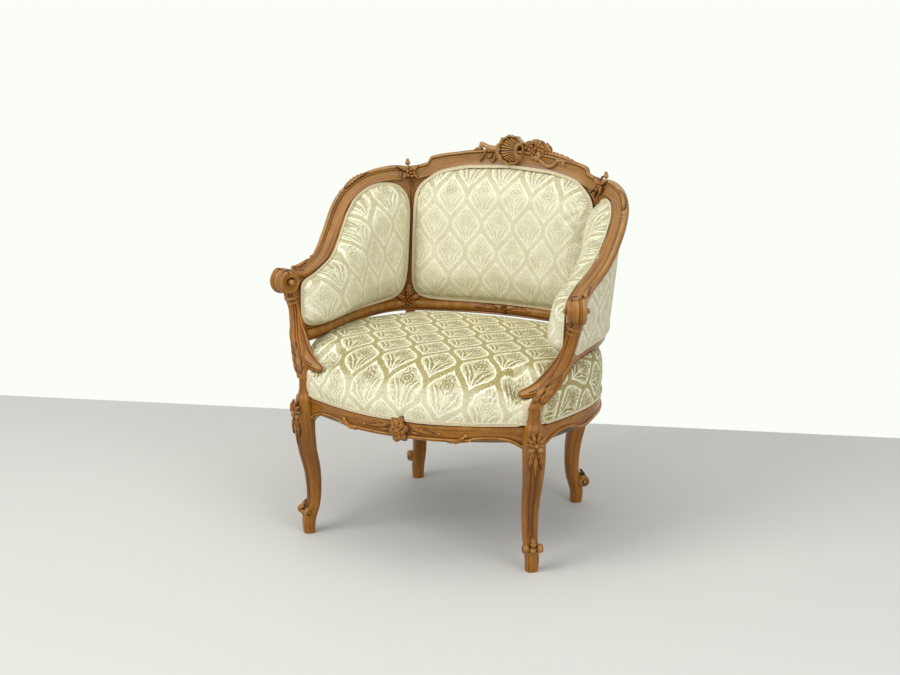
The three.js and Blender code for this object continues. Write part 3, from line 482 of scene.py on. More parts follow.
def velvet():
    """Cut velvet: a khaki ogee trellis, edged in ivory, round a rose with leaves in each cell."""
    s = Shader("cut_velvet_ogee_trellis")
    cloth = s.add("VectorMath.SCALE", s.add("Attribute", attribute_name="cloth", out=1), named={"Scale": 1000.0})
    unsheened = s.add("Attribute", attribute_name="unsheened", out=2)
    wobble = s.add("TexNoise", s.add("VectorMath.SCALE", cloth, named={"Scale": 0.06}), named={"Scale": 1.0, "Detail": 2.0}, out=1)
    drawn = s.add("VectorMath.ADD", cloth, s.add("VectorMath.MULTIPLY_ADD", wobble, (4.0, 4.0, 0), (-2.0, -2.0, 0)))
    ragged = s.add("TexNoise", s.add("VectorMath.SCALE", cloth, named={"Scale": 0.26}), named={"Scale": 1.0, "Detail": 2.0}, out=1)
    drawn = s.add("VectorMath.ADD", drawn, s.add("VectorMath.MULTIPLY_ADD", ragged, (7.0, 7.0, 0), (-3.5, -3.5, 0)))
    low, high = (-50.0, -74.0, -1.0), (50.0, 74.0, 1.0)
    first = s.add("VectorMath.WRAP", drawn, high, low)
    second = s.add("VectorMath.WRAP", s.add("VectorMath.ADD", drawn, (50.0, 74.0, 0)), high, low)
    turn = s.add("Math.MULTIPLY", s.add("SeparateXYZ", first, out=1), math.pi / 74)
    edge = s.add("Math.MULTIPLY_ADD", s.add("Math.COSINE", turn), 25.0, 25.0)
    gap = s.add("Math.SUBTRACT", edge, s.add("Math.ABSOLUTE", s.add("SeparateXYZ", first, out=0)))
    slope = s.add("Math.MULTIPLY", s.add("Math.SINE", turn), 1.061)
    lean = s.add("Math.SQRT", s.add("Math.MULTIPLY_ADD", slope, slope, 1.0))
    away = s.add("Math.DIVIDE", s.add("Math.ABSOLUTE", gap), lean)
    cell = s.add("MixRGB", s.add("Math.GREATER_THAN", gap, 0.0), second, first)
    up = s.add("SeparateXYZ", cell, out=1)
    side = s.add("Math.ABSOLUTE", s.add("SeparateXYZ", cell, out=0))
    folded = s.add("CombineXYZ", side, up, 0.0)

    def near(value, middle, half, soft=1.2):
        off = s.add("Math.ABSOLUTE", s.add("Math.SUBTRACT", value, middle))
        return s.add("MapRange", off, half - soft / 2, half + soft / 2, 1.0, 0.0)

    def union(first, *others):
        for other in others:
            first = s.add("Math.MAXIMUM", first, other)
        return first

    band = s.add("MapRange", away, 5.6, 6.4, 1.0, 0.0)
    thread = near(away, 0.0, 0.7, 0.8)
    cusps = s.add("Math.ABSOLUTE", s.add("Math.SINE", s.add("Math.MULTIPLY", up, 0.17)))
    inner = s.add("Math.SUBTRACT", away, s.add("Math.MULTIPLY_ADD", cusps, 3.0, 9.2))
    inside = s.add("MapRange", inner, -0.4, 0.5, 1.0, 0.0)
    outline = s.add("Math.MULTIPLY", s.add("MapRange", away, 6.5, 7.2, 0.0, 1.0), inside)
    # The rose: a khaki head under three rounds of ivory petal edges.
    rose = s.add("VectorMath.SUBTRACT", cell, (0.0, 12.0, 0.0))
    reach = s.add("VectorMath.LENGTH", rose, out=1)
    angle = s.add("Math.ARCTAN2", s.add("SeparateXYZ", rose, out=0), s.add("SeparateXYZ", rose, out=1))
    petals = s.add("Math.ABSOLUTE", s.add("Math.COSINE", s.add("Math.MULTIPLY", angle, 3.0)))
    lobed = s.add("Math.MULTIPLY_ADD", petals, -3.0, reach)
    bloom = union(near(lobed, 15.5, 0.8), near(lobed, 8.0, 0.7), near(reach, 0.0, 1.6))
    motif, veins = s.add("MapRange", lobed, 17.0, 18.0, 1.0, 0.0), None
    for place, tilt, size in LEAVES:
        local = s.add("Mapping", folded, place, (0, 0, tilt), size, vector_type="TEXTURE")
        blade = s.add("MapRange", s.add("VectorMath.LENGTH", local, out=1), 0.92, 1.06, 1.0, 0.0)
        rib = s.add("Math.MULTIPLY", near(s.add("SeparateXYZ", local, out=1), 0.0, 0.16, 0.2), blade)
        motif = union(motif, blade)
        veins = rib if veins is None else union(veins, rib)
    stem = s.add("Math.MULTIPLY", near(side, 0.0, 1.0), near(up, -20.0, 26.0))
    ivory = union(outline, bloom, veins, stem)
    full = s.add("MixRGB", motif, colour(FIELD), colour(MOTIF))
    full = s.add("MixRGB", ivory, full, colour(IVORY))
    full = s.add("MixRGB", band, full, colour(TRELLIS))
    full = s.add("MixRGB", s.add("Math.MULTIPLY", thread, 0.6), full, colour(TRELLIS_EDGE))
    # Painted sheen: the pattern is washed towards a pale cream, as much as each piece of cloth gives it.
    shade = s.add("MixRGB", unsheened, colour(SHEEN_PALE), full)
    brushed = s.add("TexNoise", s.add("VectorMath.SCALE", cloth, named={"Scale": 0.022}), named={"Scale": 1.0, "Detail": 2.0})
    shade = s.add("MixRGB", s.add("MapRange", brushed, 0.42, 0.72, 0.0, 0.22), shade, colour(TRELLIS))
    crushed = s.add("TexNoise", s.add("VectorMath.SCALE", cloth, named={"Scale": 0.3}), named={"Scale": 1.0, "Detail": 4.0})
    shade = s.add("MixRGB", s.add("MapRange", crushed, 0.5, 0.72, 0.0, 0.4), shade, colour(TRELLIS))
    shade = s.add("MixRGB", s.add("MapRange", crushed, 0.5, 0.3, 0.0, 0.5), shade, colour(IVORY))
    pile = s.add("TexNoise", s.add("VectorMath.SCALE", cloth, named={"Scale": 2.2}), named={"Scale": 1.0, "Detail": 2.0})
    height = union(band, ivory, s.add("Math.MULTIPLY", motif, 0.7))
    height = s.add("Math.MULTIPLY_ADD", s.add("Math.ADD", pile, crushed), 0.35, height)
    return s.finish(
        height, 0.5, 0.0007, Base_Color=shade, Roughness=0.9, Specular_IOR_Level=0.2, Sheen_Weight=0.25,
        Sheen_Roughness=0.5, Sheen_Tint=colour(IVORY),
    )


def plain_cloth(name, dark, light, pitch, sheen=0.1, attribute="cloth"):
    """A coarse plain weave that carries its own uneven threads."""
    s = Shader(name)
    place = s.add("Attribute", attribute_name=attribute, out=1) if attribute else s.add("TexCoord", out=3)
    threads = woven(s, place, pitch)
    slub = s.add("TexNoise", s.add("VectorMath.SCALE", place, named={"Scale": 0.35 / pitch}), named={"Scale": 1.0, "Detail": 3.0})
    mixed = s.add("Math.ADD", s.add("Math.MULTIPLY", threads, 0.45), s.add("Math.MULTIPLY", slub, 0.55))
    tint = s.add("ValToRGB", mixed, stops=[(0.25, dark), (0.7, light)])
    return s.finish(threads, 0.5, pitch * 0.25, Base_Color=tint, Roughness=0.92, Sheen_Weight=sheen)


def braid():
    """Cream gimp, darkened to fawn in its hollows and underneath as painted shade."""
    s = Shader("gimp_braid")
    recess = s.add("Attribute", attribute_name="recess", out=2)
    place = s.add("TexCoord", out=3)
    thread = s.add("TexWave", place, named={"Scale": 420.0, "Distortion": 2.0, "Detail": 1.0}, out=1, bands_direction="DIAGONAL")
    tint = s.add("ValToRGB", s.add("Math.MULTIPLY_ADD", thread, 0.2, recess), stops=[(0.1, "#faf2da"), (0.5, "#eee2bf"), (0.95, "#c3ad80")])
    return s.finish(thread, 0.4, 0.0003, Base_Color=tint, Roughness=0.8, Sheen_Weight=0.3)


def steel_wire():
    """Coppered steel spring wire with dull patches."""
    s = Shader("coppered_steel_wire")
    patches = s.add("TexNoise", s.add("TexCoord", out=3), named={"Scale": 90.0, "Detail": 3.0})
    tint = s.add("ValToRGB", patches, stops=[(0.35, "#8f8a82"), (0.65, "#b5a698")])
    rough = s.add("MapRange", patches, 0.3, 0.7, 0.28, 0.5)
    return s.finish(patches, 0.1, 0.0002, Base_Color=tint, Roughness=rough, Metallic=0.95)


def raw_beech():
    """Planed beech with small dark flecks."""
    s = Shader("raw_beech")
    place = s.add("TexCoord", out=3)
    rings = s.add("TexNoise", s.add("VectorMath.MULTIPLY", place, (40.0, 240.0, 240.0)), named={"Scale": 1.0, "Detail": 4.0})
    flecks = s.add("TexVoronoi", s.add("VectorMath.MULTIPLY", place, (180.0, 900.0, 900.0)), named={"Scale": 1.0})
    tint = s.add("ValToRGB", rings, stops=[(0.3, "#a5804f"), (0.7, "#c9a676")])
    tint = s.add("MixRGB", s.add("MapRange", flecks, 0.1, 0.25, 0.5, 0.0), tint, colour("#7d5a34"))
    return s.finish(rings, 0.15, 0.0004, Base_Color=tint, Roughness=0.62)


TRELLIS = "#a39355"
TRELLIS_EDGE = "#857843"
FIELD = "#cfc99a"
MOTIF = "#8a7a3a"
IVORY = "#fbf8e0"
SHEEN_PALE = "#faf7de"
WALNUT = walnut("polished_walnut", "#552a02", "#965806", "#c08220", "#241002", wear_and_highlight=0.5)
VELVET = velvet()
GIMP = braid()


# Show-wood.
def rows(*values):
    """Profile rows of (across, face, tone) in millimetres and tone, as metres."""
    return np.array(values, float) * (MM, MM, 1)


RAIL_PROFILE = rows(
    (-21, -6, 0.4), (-21, 3, 0.2), (-20.2, 6.8, 0.1), (-18.4, 8.2, 0.1), (-16, 7.6, 0.3), (-13, 7.0, 0.3),
    (-8, 6.8, 0.2), (-3, 7.2, 0.2), (1.4, 8.6, 0.15), (3.2, 9.6, 0.1), (4.6, 8.4, 0.85), (6, 10.4, 0.2),
    (7.8, 11.8, 0.05), (9.4, 10.6, 0.85), (11, 12.6, 0.15), (14.6, 12.8, 0.05), (18, 10.2, 0.1), (20.4, 6.4, 0.2),
    (20.6, 2, 0.3), (18, -3, 0.35), (12, -8.5, 0.35), (4, -12, 0.35), (-8, -13.5, 0.35), (-17, -12, 0.35),
    (-20.4, -9, 0.4),
)
CREST_PROFILE = rows(
    (-21, -6, 0.4), (-21, 3, 0.2), (-20.2, 6.8, 0.1), (-18.4, 8.2, 0.1), (-16, 7.6, 0.3), (-12, 6.8, 0.25),
    (-6, 6.4, 0.2), (0, 6.8, 0.2), (5, 8.2, 0.15), (8.4, 10, 0.1), (10.4, 11.2, 0.2), (12, 9.2, 0.95),
    (13.4, 11.4, 0.15), (15.4, 13.2, 0.0), (17.4, 12.8, 0.05), (18.8, 11.2, 0.5), (20, 10.8, 0.1), (21, 7.4, 0.15),
    (20.6, 2, 0.3), (18, -3, 0.35), (12, -8.5, 0.35), (4, -12, 0.35), (-8, -13.5, 0.35), (-17, -12, 0.35),
    (-20.4, -9, 0.4),
)
LOWER_PROFILE = rows(
    (-18, -8, 0.5), (-18, 2, 0.4), (-17.2, 6.6, 0.1), (-15.4, 8.4, 0.0), (-13.4, 7.6, 0.4), (-12, 7.4, 0.8),
    (-9.6, 10.6, 0.2), (-4, 13, 0.1), (2, 13.6, 0.05), (7, 12.6, 0.1), (10.4, 9.8, 0.2), (12.4, 7.2, 0.8),
    (14, 7.8, 0.3), (15.8, 8.4, 0.0), (17.4, 6.4, 0.1), (18, 2, 0.3), (18, -8, 0.4), (13, -13, 0.3),
    (0, -14, 0.3), (-13, -13, 0.3),
)
SEAT_RAIL_PROFILE = rows(
    (18, -12, 0.4), (18, 9, 0.4), (16.8, 12.6, 0.3), (13, 13.2, 0.15), (7, 11.8, 0.2), (0, 10.6, 0.2),
    (-5, 10.8, 0.25), (-7.8, 11.6, 0.4), (-8.8, 11.2, 0.95), (-10, 13.8, 0.15), (-11.8, 15.4, 0.0), (-13.6, 15, 0.05),
    (-14.8, 13.4, 0.6), (-16, 14.4, 0.1), (-17.8, 13, 0.1), (-18.4, 9, 0.3), (-18.4, -9, 0.4), (-15, -14, 0.4),
    (15, -14, 0.4),
)
# How far the seat rails' lower edge rises above its even line, in millimetres, by index from the front's middle.
EDGE_INDEX = [0, 2.1, 2.45, 2.8, 3.3, 3.8, 4.2, 4.6, 5, 5.4, 5.8, 6.3, 6.8, 7.15, 7.6, 8.3, 10.6, 11.3, 11.8, 12.2, 12.8, 13.5, 15]
EDGE_RISE = [-3, -3, -4, 3, 4, 1, -9, -24, -38, -16, 2, 9, 7, -5, -5, 1, 0, -7, -18, -18, -7, 0, 0]


def eased(x, low, high):
    """A smooth step from 0 at one value to 1 at the other."""
    t = np.clip((np.asarray(x, float) - low) / (high - low), 0, 1)
    return t * t * (3 - 2 * t)


def crest_reach(index):
    """Reach of the top rail's outer edge past its inner one's, which steps down outside the ears."""
    away = np.abs(index)
    share = 1.1 + 0.15 * eased(away, 1.6, 3.1) - 0.5 * eased(away, 3.25, 3.75) + 0.25 * eased(away, 4.1, 6)
    return (share - 1) * RAIL_OUTER


def top_profiles(index):
    """The top rail's section at each index, its outer mouldings moved with its reach."""
    arm = eased(np.abs(index), 4.7, 5.6)[:, None, None]
    profiles = CREST_PROFILE * (1 - arm) + RAIL_PROFILE * arm
    profiles[..., 0] += eased(profiles[..., 0], -0.008, 0.005) * crest_reach(index)[:, None]
    return profiles


def on_rail(reader, index, across=0.0, lift=0.0):
    """Places on a rail with its across and face directions, moved across and lifted, in metres."""
    place, along, side, face = reader(index)
    across, lift = np.reshape(across, (-1, 1)), np.reshape(lift, (-1, 1))
    return place + side * across + face * lift, side, face, along


SPLAY = np.array([math.cos(math.radians(ARM_SPLAY)), math.sin(math.radians(ARM_SPLAY)), 0])
SCROLL_CENTRE = scaled([SCROLL_SHARES], SEAT_LEVEL)[0]
FORWARD = np.cross(SPLAY, UP)


def disc(carving, centre, axis, radius, proud, turns=1.7, eye=0.3, handed=1):
    """Adds the end of a volute: a raised spiral round a pearl, facing along an axis."""
    first = unit(np.cross(UP, axis) if abs(axis[2]) < 0.9 else np.array([1.0, 0, 0]))
    second = np.cross(axis, first)
    rho = np.linspace(1, 0, 40)[:, None]
    theta = np.linspace(0, 2 * math.pi, 72, endpoint=False)[None, :]
    wound = turns * rho + handed * theta / (2 * math.pi)
    away = np.abs(wound - np.round(wound))
    groove = np.exp(-((away / 0.15) ** 2)) * eased(rho, eye, eye + 0.06)
    moat = np.exp(-(((rho - eye) / 0.06) ** 2))
    dome = np.sqrt(np.clip(1 - (rho / eye) ** 2, 0, 1))
    rise = proud * (0.7 - 1.0 * groove - 0.6 * moat - 0.9 * eased(rho, 0.9, 1.0)) + dome * proud * 1.3
    flat = first * (rho * radius * np.cos(theta))[..., None] + second * (rho * radius * np.sin(theta))[..., None]
    tone = np.clip(groove + moat + 0.1 - 0.1 * (rho < eye * 0.9), 0, 1)
    carving.grid(centre + flat + axis * rise[..., None], tone, around=True)


def top_rail(start, stop, count):
    index = np.linspace(start, stop, count)
    place, _, across, face = top_frame(index)
    return Carving().sweep(place, across, face, top_profiles(index))


def arm_rail():
    """The right arm: its rail runs forward, curls over the scroll and winds in underneath."""
    index = np.linspace(5.71, 16.45, 130)
    place, _, across, face = top_frame(index)
    turn = np.radians(np.linspace(86, -205, 64))[:, None]
    spoke = FORWARD * np.cos(turn) + UP * np.sin(turn)
    wind = 0.0215 - 0.006 * np.linspace(0, 1, 64)[:, None] ** 1.5
    place = np.vstack([place, SCROLL_CENTRE + spoke * wind])
    across = np.vstack([across, np.repeat(SPLAY[None], 64, axis=0)])
    face = np.vstack([face, spoke])
    ease = np.linspace(0, 1, 24)[:, None]
    low, high = 118, 142
    across[low:high] = unit(across[low] * (1 - ease) + across[high] * ease)
    face[low:high] = unit(face[low] * (1 - ease) + face[high] * ease)
    profiles = np.vstack([top_profiles(index), np.repeat(RAIL_PROFILE[None], 64, axis=0)])
    profiles[132:, :, :2] *= 1.07
    profiles[131:133, :, 2] = 1.0
    carving = Carving().sweep(place, across, face, profiles)
    for handed, proud in ((1, 1), (-1, -1)):
        end = SCROLL_CENTRE + SPLAY * proud * (SCROLL_LONG / 2 - 0.001)
        disc(carving, end, SPLAY * proud, SCROLL_RADIUS - 0.005, 0.0065, turns=1.25, eye=0.3, handed=handed)
    return carving


def shaft(centres, halves, turn, grooves, plain=(99, 99), width=0.13, depth=0.0022, start=0.4, count=72, per=8):
    """A post through centres with half sizes, grooved along but for a plain stretch, turned about the vertical."""
    last = len(centres) - 1
    index = np.linspace(0, last, last * per + 1)
    place, along = smooth_line(centres)(index)
    sizes, _ = smooth_line(np.array([(a, b, 0) for a, b in halves]))(index)
    lean = np.clip(np.minimum(1, np.minimum(index / 3, (last - index) / 2)), 0, 1)[:, None]
    upright = unit(UP * (1 - lean) + along * lean)
    outward = np.array([math.cos(math.radians(turn)), math.sin(math.radians(turn)), 0])
    across = unit(outward - upright * (upright @ outward)[:, None])
    above, below = eased(index, plain[1], plain[1] + 1), 1 - eased(index, plain[0] - 1, plain[0])
    fade = eased(index, start, start + 1) * np.maximum(below, above)
    profiles = np.array([fluted(a, b, grooves, depth * f + 1e-6, width, count=count) for (a, b, _), f in zip(sizes, fade)])
    return Carving().sweep(place, across, np.cross(upright, across), profiles), (place, across, upright, sizes)


def leg_line(kind):
    """Centres, half sizes and outward direction of the cabriole part of a right leg."""
    turn = math.radians(LEG_TURN[kind])
    outward = np.array([math.cos(turn), math.sin(turn), 0])
    shares = CABRIOLE_SHARES + (FRONT_TOP_SHARES if kind == "front" else [])
    foot = FOOT_SHARES[kind]
    base = np.array([foot[0] * HALF_WIDTH, foot[1] * HALF_DEPTH + SHIFT, 0])
    centres = [base + outward * offset * KNEE_HALF + UP * height * SEAT_LEVEL for height, offset, _, _ in shares]
    return centres, [(deep * KNEE_HALF, wide * KNEE_HALF_WIDE) for _, _, deep, wide in shares], outward, base


def foot_scroll(carving, base, turn, size=1.0):
    """Adds the two curls and the leaf between them over a foot, facing in a direction."""
    outward = np.array([math.cos(turn), math.sin(turn), 0])
    axis = np.cross(UP, outward)
    centre = base + outward * 0.010 * size + UP * 0.058
    spin = np.linspace(0, 2 * math.pi, 40, endpoint=False)
    step = np.array([-0.0235, -0.022, -0.018, -0.011, -0.008, 0.008, 0.011, 0.018, 0.022, 0.0235])
    radius = np.array([0.0075, 0.0102, 0.0112, 0.0102, 0.0075, 0.0075, 0.0102, 0.0112, 0.0102, 0.0075]) * size
    spoke = outward * np.cos(spin)[:, None] + UP * np.sin(spin)[:, None]
    ring = centre + axis * step[:, None, None] + spoke[None] * radius[:, None, None]
    tone = np.array([0.4, 0.1, 0.0, 0.2, 0.85, 0.85, 0.2, 0.0, 0.1, 0.4])[:, None]
    carving.grid(ring, tone, around=True)
    for way in (-1, 1):
        disc(carving, centre + axis * way * 0.0225, axis * way, 0.0098 * size, 0.0016, turns=1.2, eye=0.4, handed=way)
        path = centre + axis * way * np.linspace(0.015, 0.004, 16)[:, None] - UP * np.linspace(0.004, 0.018, 16)[:, None]
        carving.roll(path - outward * 0.001, np.linspace(0.0075, 0.004, 16), tone=0.15)
    carving.ball(centre + outward * 0.006 - UP * 0.002, 0.0072)
    t = np.linspace(0, 1, 16)[:, None]
    path = centre + outward * (0.011 - 0.014 * t) + UP * (0.003 + 0.026 * t)
    out = unit(np.repeat(outward[None], 16, axis=0) + UP * 0.3)
    carving.leaf(path, np.repeat(axis[None], 16, axis=0), out, 0.0085, 0.0055, lobes=3)


def knee_flower(carving, centres, turn):
    """Adds the palmette on a knee, with two bosses and a husk of leaves below it."""
    outward = np.array([math.cos(turn), math.sin(turn), 0])
    axis = np.cross(UP, outward)
    middle = centres[7] + outward * (KNEE_HALF - 0.0005) + UP * 0.010
    carving.palmette(middle, axis, UP, outward, 0.033)
    carving.palmette(middle + outward * 0.004 - UP * 0.001, axis, UP, outward, 0.020, fingers=4)
    read = smooth_line(centres)
    for way in (-1, 1):
        carving.ball(middle + axis * way * 0.009 - UP * 0.010 + outward * 0.0015, 0.0068)
        path, _ = read(np.linspace(7.0, 5.9, 16))
        swing = axis * (way * (0.005 + 0.010 * np.sin(np.linspace(0, 1.5, 16))))[:, None]
        hold = (KNEE_HALF * (1.0 - 0.06 * np.linspace(0, 1, 16) ** 2))[:, None]
        side, out = np.repeat(axis[None], 16, axis=0), np.repeat(outward[None], 16, axis=0)
        carving.leaf(path + outward * hold + swing, side, out, 0.0075, 0.005, lobes=3)
    path, _ = read(np.linspace(7.0, 5.4, 20))
    side, out = np.repeat(axis[None], 20, axis=0), np.repeat(outward[None], 20, axis=0)
    carving.leaf(path + outward * KNEE_HALF * 0.97, side, out, 0.006, 0.0045, lobes=2)


LEG_GROOVES = (-31, -3)


def front_leg():
    centres, halves, _, base = leg_line("front")
    carving = leg_core()
    turn = math.radians(FEATURE_TURN)
    foot_scroll(carving, base, turn)
    knee_flower(carving, centres, turn)
    return carving


def leg_core():
    """A front leg without its carving: a smooth ridge between two long flutes down to the foot's scroll."""
    centres, halves, _, _ = leg_line("front")
    return shaft(centres, halves, LEG_TURN["front"], LEG_GROOVES, plain=(6.8, 99), width=0.16, depth=0.0026, start=1.6)[0]


def rear_leg():
    """A rear leg that runs on above the seat as the stile, moulded like the rails."""
    centres, halves, outward, base = leg_line("rear")
    stile = list(scaled(STILE_SHARES, BACK_RISE, SEAT_LEVEL))
    sizes = [(girth * STILE_THICK / 2, girth * STILE_WIDE / 2) for girth in STILE_GIRTHS]
    carving, _ = shaft(centres + stile, halves + sizes, LEG_TURN["rear"], (150, 180, 210), plain=(0, 9.5))
    foot_scroll(carving, base, math.radians(LEG_TURN["rear"]), size=1.35)
    return carving


def post_core():
    """An arm post without its carving, and the frame along it."""
    centres = scaled(ARM_POST_SHARES + [(0.934, -0.505, 1.71)], SEAT_LEVEL)
    halves = [(deep * ARM_POST_DEEP / 2, wide * ARM_POST_WIDE / 2) for deep, wide in POST_GIRTHS]
    return shaft(centres, halves, ARM_SPLAY - 90, (-66, -38), width=0.1, depth=0.0024, start=1.2)


def tongue_line(count):
    """The middle line of the tongue that sweeps off an arm post over the seat's corner."""
    shares = [(0.9, -0.5, 1.56), (0.886, -0.522, 1.46), (0.862, -0.55, 1.38)] + TOE_SHARES[1:]
    places = scaled(shares, SEAT_LEVEL)
    path, _ = smooth_line(places)(np.linspace(0, len(places) - 1, 12 * count))
    path, _, run = resampled(path, path, 0.0001)
    even = np.linspace(0, run[-1], count)
    path = np.stack([np.interp(even, run, path[:, k]) for k in range(3)], axis=1)
    return path, unit(np.gradient(path, axis=0))


def tongue():
    """The tongue: broad where it leaves the post, blunt over the cloth, with a bead along each edge."""
    path, along = tongue_line(64)
    left = np.cumsum(np.linalg.norm(np.diff(path, axis=0, append=path[-1:]), axis=1)[::-1])[::-1]
    face = np.repeat(unit(np.array([[0.1, -0.62, 0.6]])), 64, axis=0)
    face = unit(face - along * np.sum(face * along, axis=1, keepdims=True))
    side = unit(np.cross(face, along))
    blunt = np.sqrt(np.clip(1 - (1 - left / 0.012).clip(0) ** 2, 0.04, 1))
    grown = 0.55 + 0.45 * eased(np.linspace(0, 1, 64), 0, 0.4)
    wide = (0.0104 + 0.0115 * eased(left, 0, 0.075)) * blunt * grown
    thick = (0.0078 + 0.0062 * eased(left, 0, 0.06)) * blunt * grown
    blade = np.stack([np.stack([a * wide, f * thick, tone + 0 * wide], axis=1) for a, f, tone in TONGUE_OUTLINE], axis=1)
    return Carving().sweep(path, side, face, blade)


POST_GIRTHS = [(0.95, 0.98), (1, 1.08), (1.06, 1.22), (1.02, 1.2), (0.98, 1.12), (1, 1.1), (1.06, 1.12), (1.1, 1.1)]
TONGUE_OUTLINE = (
    (-1, -0.3, 0.4), (-1, 0.35, 0.1), (-0.9, 0.62, 0.0), (-0.76, 0.5, 0.75), (-0.5, 0.72, 0.2), (0, 0.85, 0.1),
    (0.5, 0.72, 0.2), (0.76, 0.5, 0.75), (0.9, 0.62, 0.0), (1, 0.35, 0.1), (1, -0.3, 0.4), (0.5, -1, 0.5), (-0.5, -1, 0.5),
)


def arm_post():
    """The post under an arm's scroll, lined along its inner edge, with its collar, its leaves and its tongue."""
    carving, (place, across, upright, sizes) = post_core()
    other = np.cross(upright, across)
    for row, swell, radius in ((len(place) - 11, 0.0002, 0.0032), (len(place) - 14, -0.0006, 0.0018)):
        turn = np.linspace(0, 2 * math.pi, 40)[:, None]
        spoke = across[row] * np.cos(turn) * (sizes[row][0] + swell) + other[row] * np.sin(turn) * (sizes[row][1] + swell)
        carving.roll(place[row] + spoke, radius, sides=10, tone=0.05)
    blade = tongue()
    carving.grid(np.array(blade.points).reshape(64, -1, 3), np.array(blade.tone).reshape(64, -1), around=True, ends=True)
    # The throat: the post runs back and up into the underside of the rail, round the pad's corner.
    t = np.linspace(0, 1, 20)[:, None]
    foot, head = scaled([(0.915, -0.485, 1.52), (0.9, -0.33, 1.775)], SEAT_LEVEL)
    path = foot * (1 - t) + head * t - (head - foot) * (1, 1, 0) * 0.5 * np.sin(math.pi * t) * 0.5
    carving.roll(path, 0.0105 + 0.007 * t[:, 0], sides=20, tone=0.25)
    # The outer shoulder swells beside the tongue and runs down into the block.
    run = slice(1, 30)
    swell = np.sin(np.linspace(0.1, math.pi - 0.05, 29))
    path = place[run] + SPLAY * (0.002 + 0.0145 * swell)[:, None]
    carving.roll(path, 0.0065 + 0.0055 * swell, sides=20, tone=0.2)
    carving.roll(path + SPLAY * (0.0055 + 0.0045 * swell)[:, None], 0.0028, sides=10, tone=0.0)
    for angle, wide, start, reach in ((20, 0.012, 5, 24), (48, 0.009, 4, 18), (-30, 0.009, 4, 22)):
        run = slice(start, reach)
        spoke = math.radians(angle)
        out = unit(across[run] * math.cos(spoke) + other[run] * math.sin(spoke))
        hold = np.sqrt((sizes[run, 0] * math.cos(spoke)) ** 2 + (sizes[run, 1] * math.sin(spoke)) ** 2)[:, None]
        carving.leaf(place[run] + out * (hold - 0.0012), unit(np.cross(out, upright[run])), out, wide, 0.006, lobes=4)
    path, _ = tongue_line(48)
    for start, stop, lean, wide in ((22, 42, 0.003, 0.0065), (14, 30, -0.005, 0.007)):
        run = slice(start, stop)
        out = np.repeat(unit(np.array([[0.15, -0.75, 0.65]])), stop - start, axis=0)
        side = unit(np.cross(out, np.gradient(path[run], axis=0)))
        carving.leaf(path[run] + out * 0.0078 + side * lean, side, out, wide, 0.005, lobes=4)
    return carving


def seat_rail(start, stop, count):
    """A length of seat rail whose moulded lower edge rises and falls and sweeps down into the legs."""
    index = np.linspace(start, stop, count)
    place, _, inward = seat_plan(index, SEAT_RAIL_THICK / 2, SEAT_LEVEL - SEAT_RAIL_TALL / 2)
    profiles = np.repeat(SEAT_RAIL_PROFILE[None], count, axis=0)
    low = eased(-SEAT_RAIL_PROFILE[:, 0], 0.0, 0.009)
    profiles[..., 0] += low * edge_rise(index)[:, None]
    return Carving().sweep(place, np.repeat(UP[None], count, axis=0), -inward, profiles)


def edge_rise(index):
    """How far the seat rails' lower edge rises above its even line, in metres."""
    away = np.minimum(np.abs(index), WHOLE_PLAN - np.abs(index))
    steps = away[:, None] + np.linspace(-0.15, 0.15, 5)[None]
    return np.interp(np.abs(steps), EDGE_INDEX, EDGE_RISE).mean(axis=1) * MM


# The bays of the back.
def lifted(lower, upper):
    """A surface between two lines: a function from u, v and lift to points and normals."""
    def read(u, v, lift=0.0):
        u, v, lift = np.broadcast_arrays(np.asarray(u, float), v, lift)
        shape = u.shape
        u, v, lift = u.ravel(), v.reshape(-1, 1), lift.reshape(-1, 1)
        at = lambda s: lower(s) * (1 - v) + upper(s) * v
        normal = unit(np.cross(at(u + 0.01) - at(u - 0.01), upper(u) - lower(u)))
        return (at(u) + normal * lift).reshape(shape + (3,)), normal.reshape(shape + (3,))
    return read


def bay(lower_span, top_span, low=0.006, high=0.003, into=0.0):
    """The surface that a back pad is built on, from the lower to the top rail, into their edges."""
    def lower(u):
        place, _, across, face = lower_frame(lower_span[0] + (lower_span[1] - lower_span[0]) * u)
        return place + across * (LOWER_HALF_TALL - into) + face * low

    def upper(u):
        place, _, across, face = top_frame(top_span[0] + (top_span[1] - top_span[0]) * u)
        return place + across * (into - RAIL_INNER) + face * high
    return lifted(lower, upper)


def outside(lower_span, top_span):
    """The surface that an outside panel is stretched over, on the rails' outer faces."""
    def lower(u):
        place, _, across, face = lower_frame(lower_span[0] + (lower_span[1] - lower_span[0]) * u)
        return place + across * LOWER_HALF_TALL * 0.7 - face * (LOWER_HALF_THICK + 0.0025)

    def upper(u):
        place, _, across, face = top_frame(top_span[0] + (top_span[1] - top_span[0]) * u)
        return place - across * RAIL_INNER * 0.6 - face * (RAIL_HALF_THICK + 0.0025)
    return lifted(lower, upper)


def ring_shares(ring, count=144, corner=4.4):
    """u and v shares round a rounded rectangle, scaled by a ring."""
    turn = np.linspace(0, 2 * math.pi, count, endpoint=False)
    bent = lambda x: np.sign(x) * np.abs(x) ** (2 / corner)
    return 0.5 + 0.5 * ring * bent(np.cos(turn)), 0.5 + 0.5 * ring * bent(np.sin(turn))


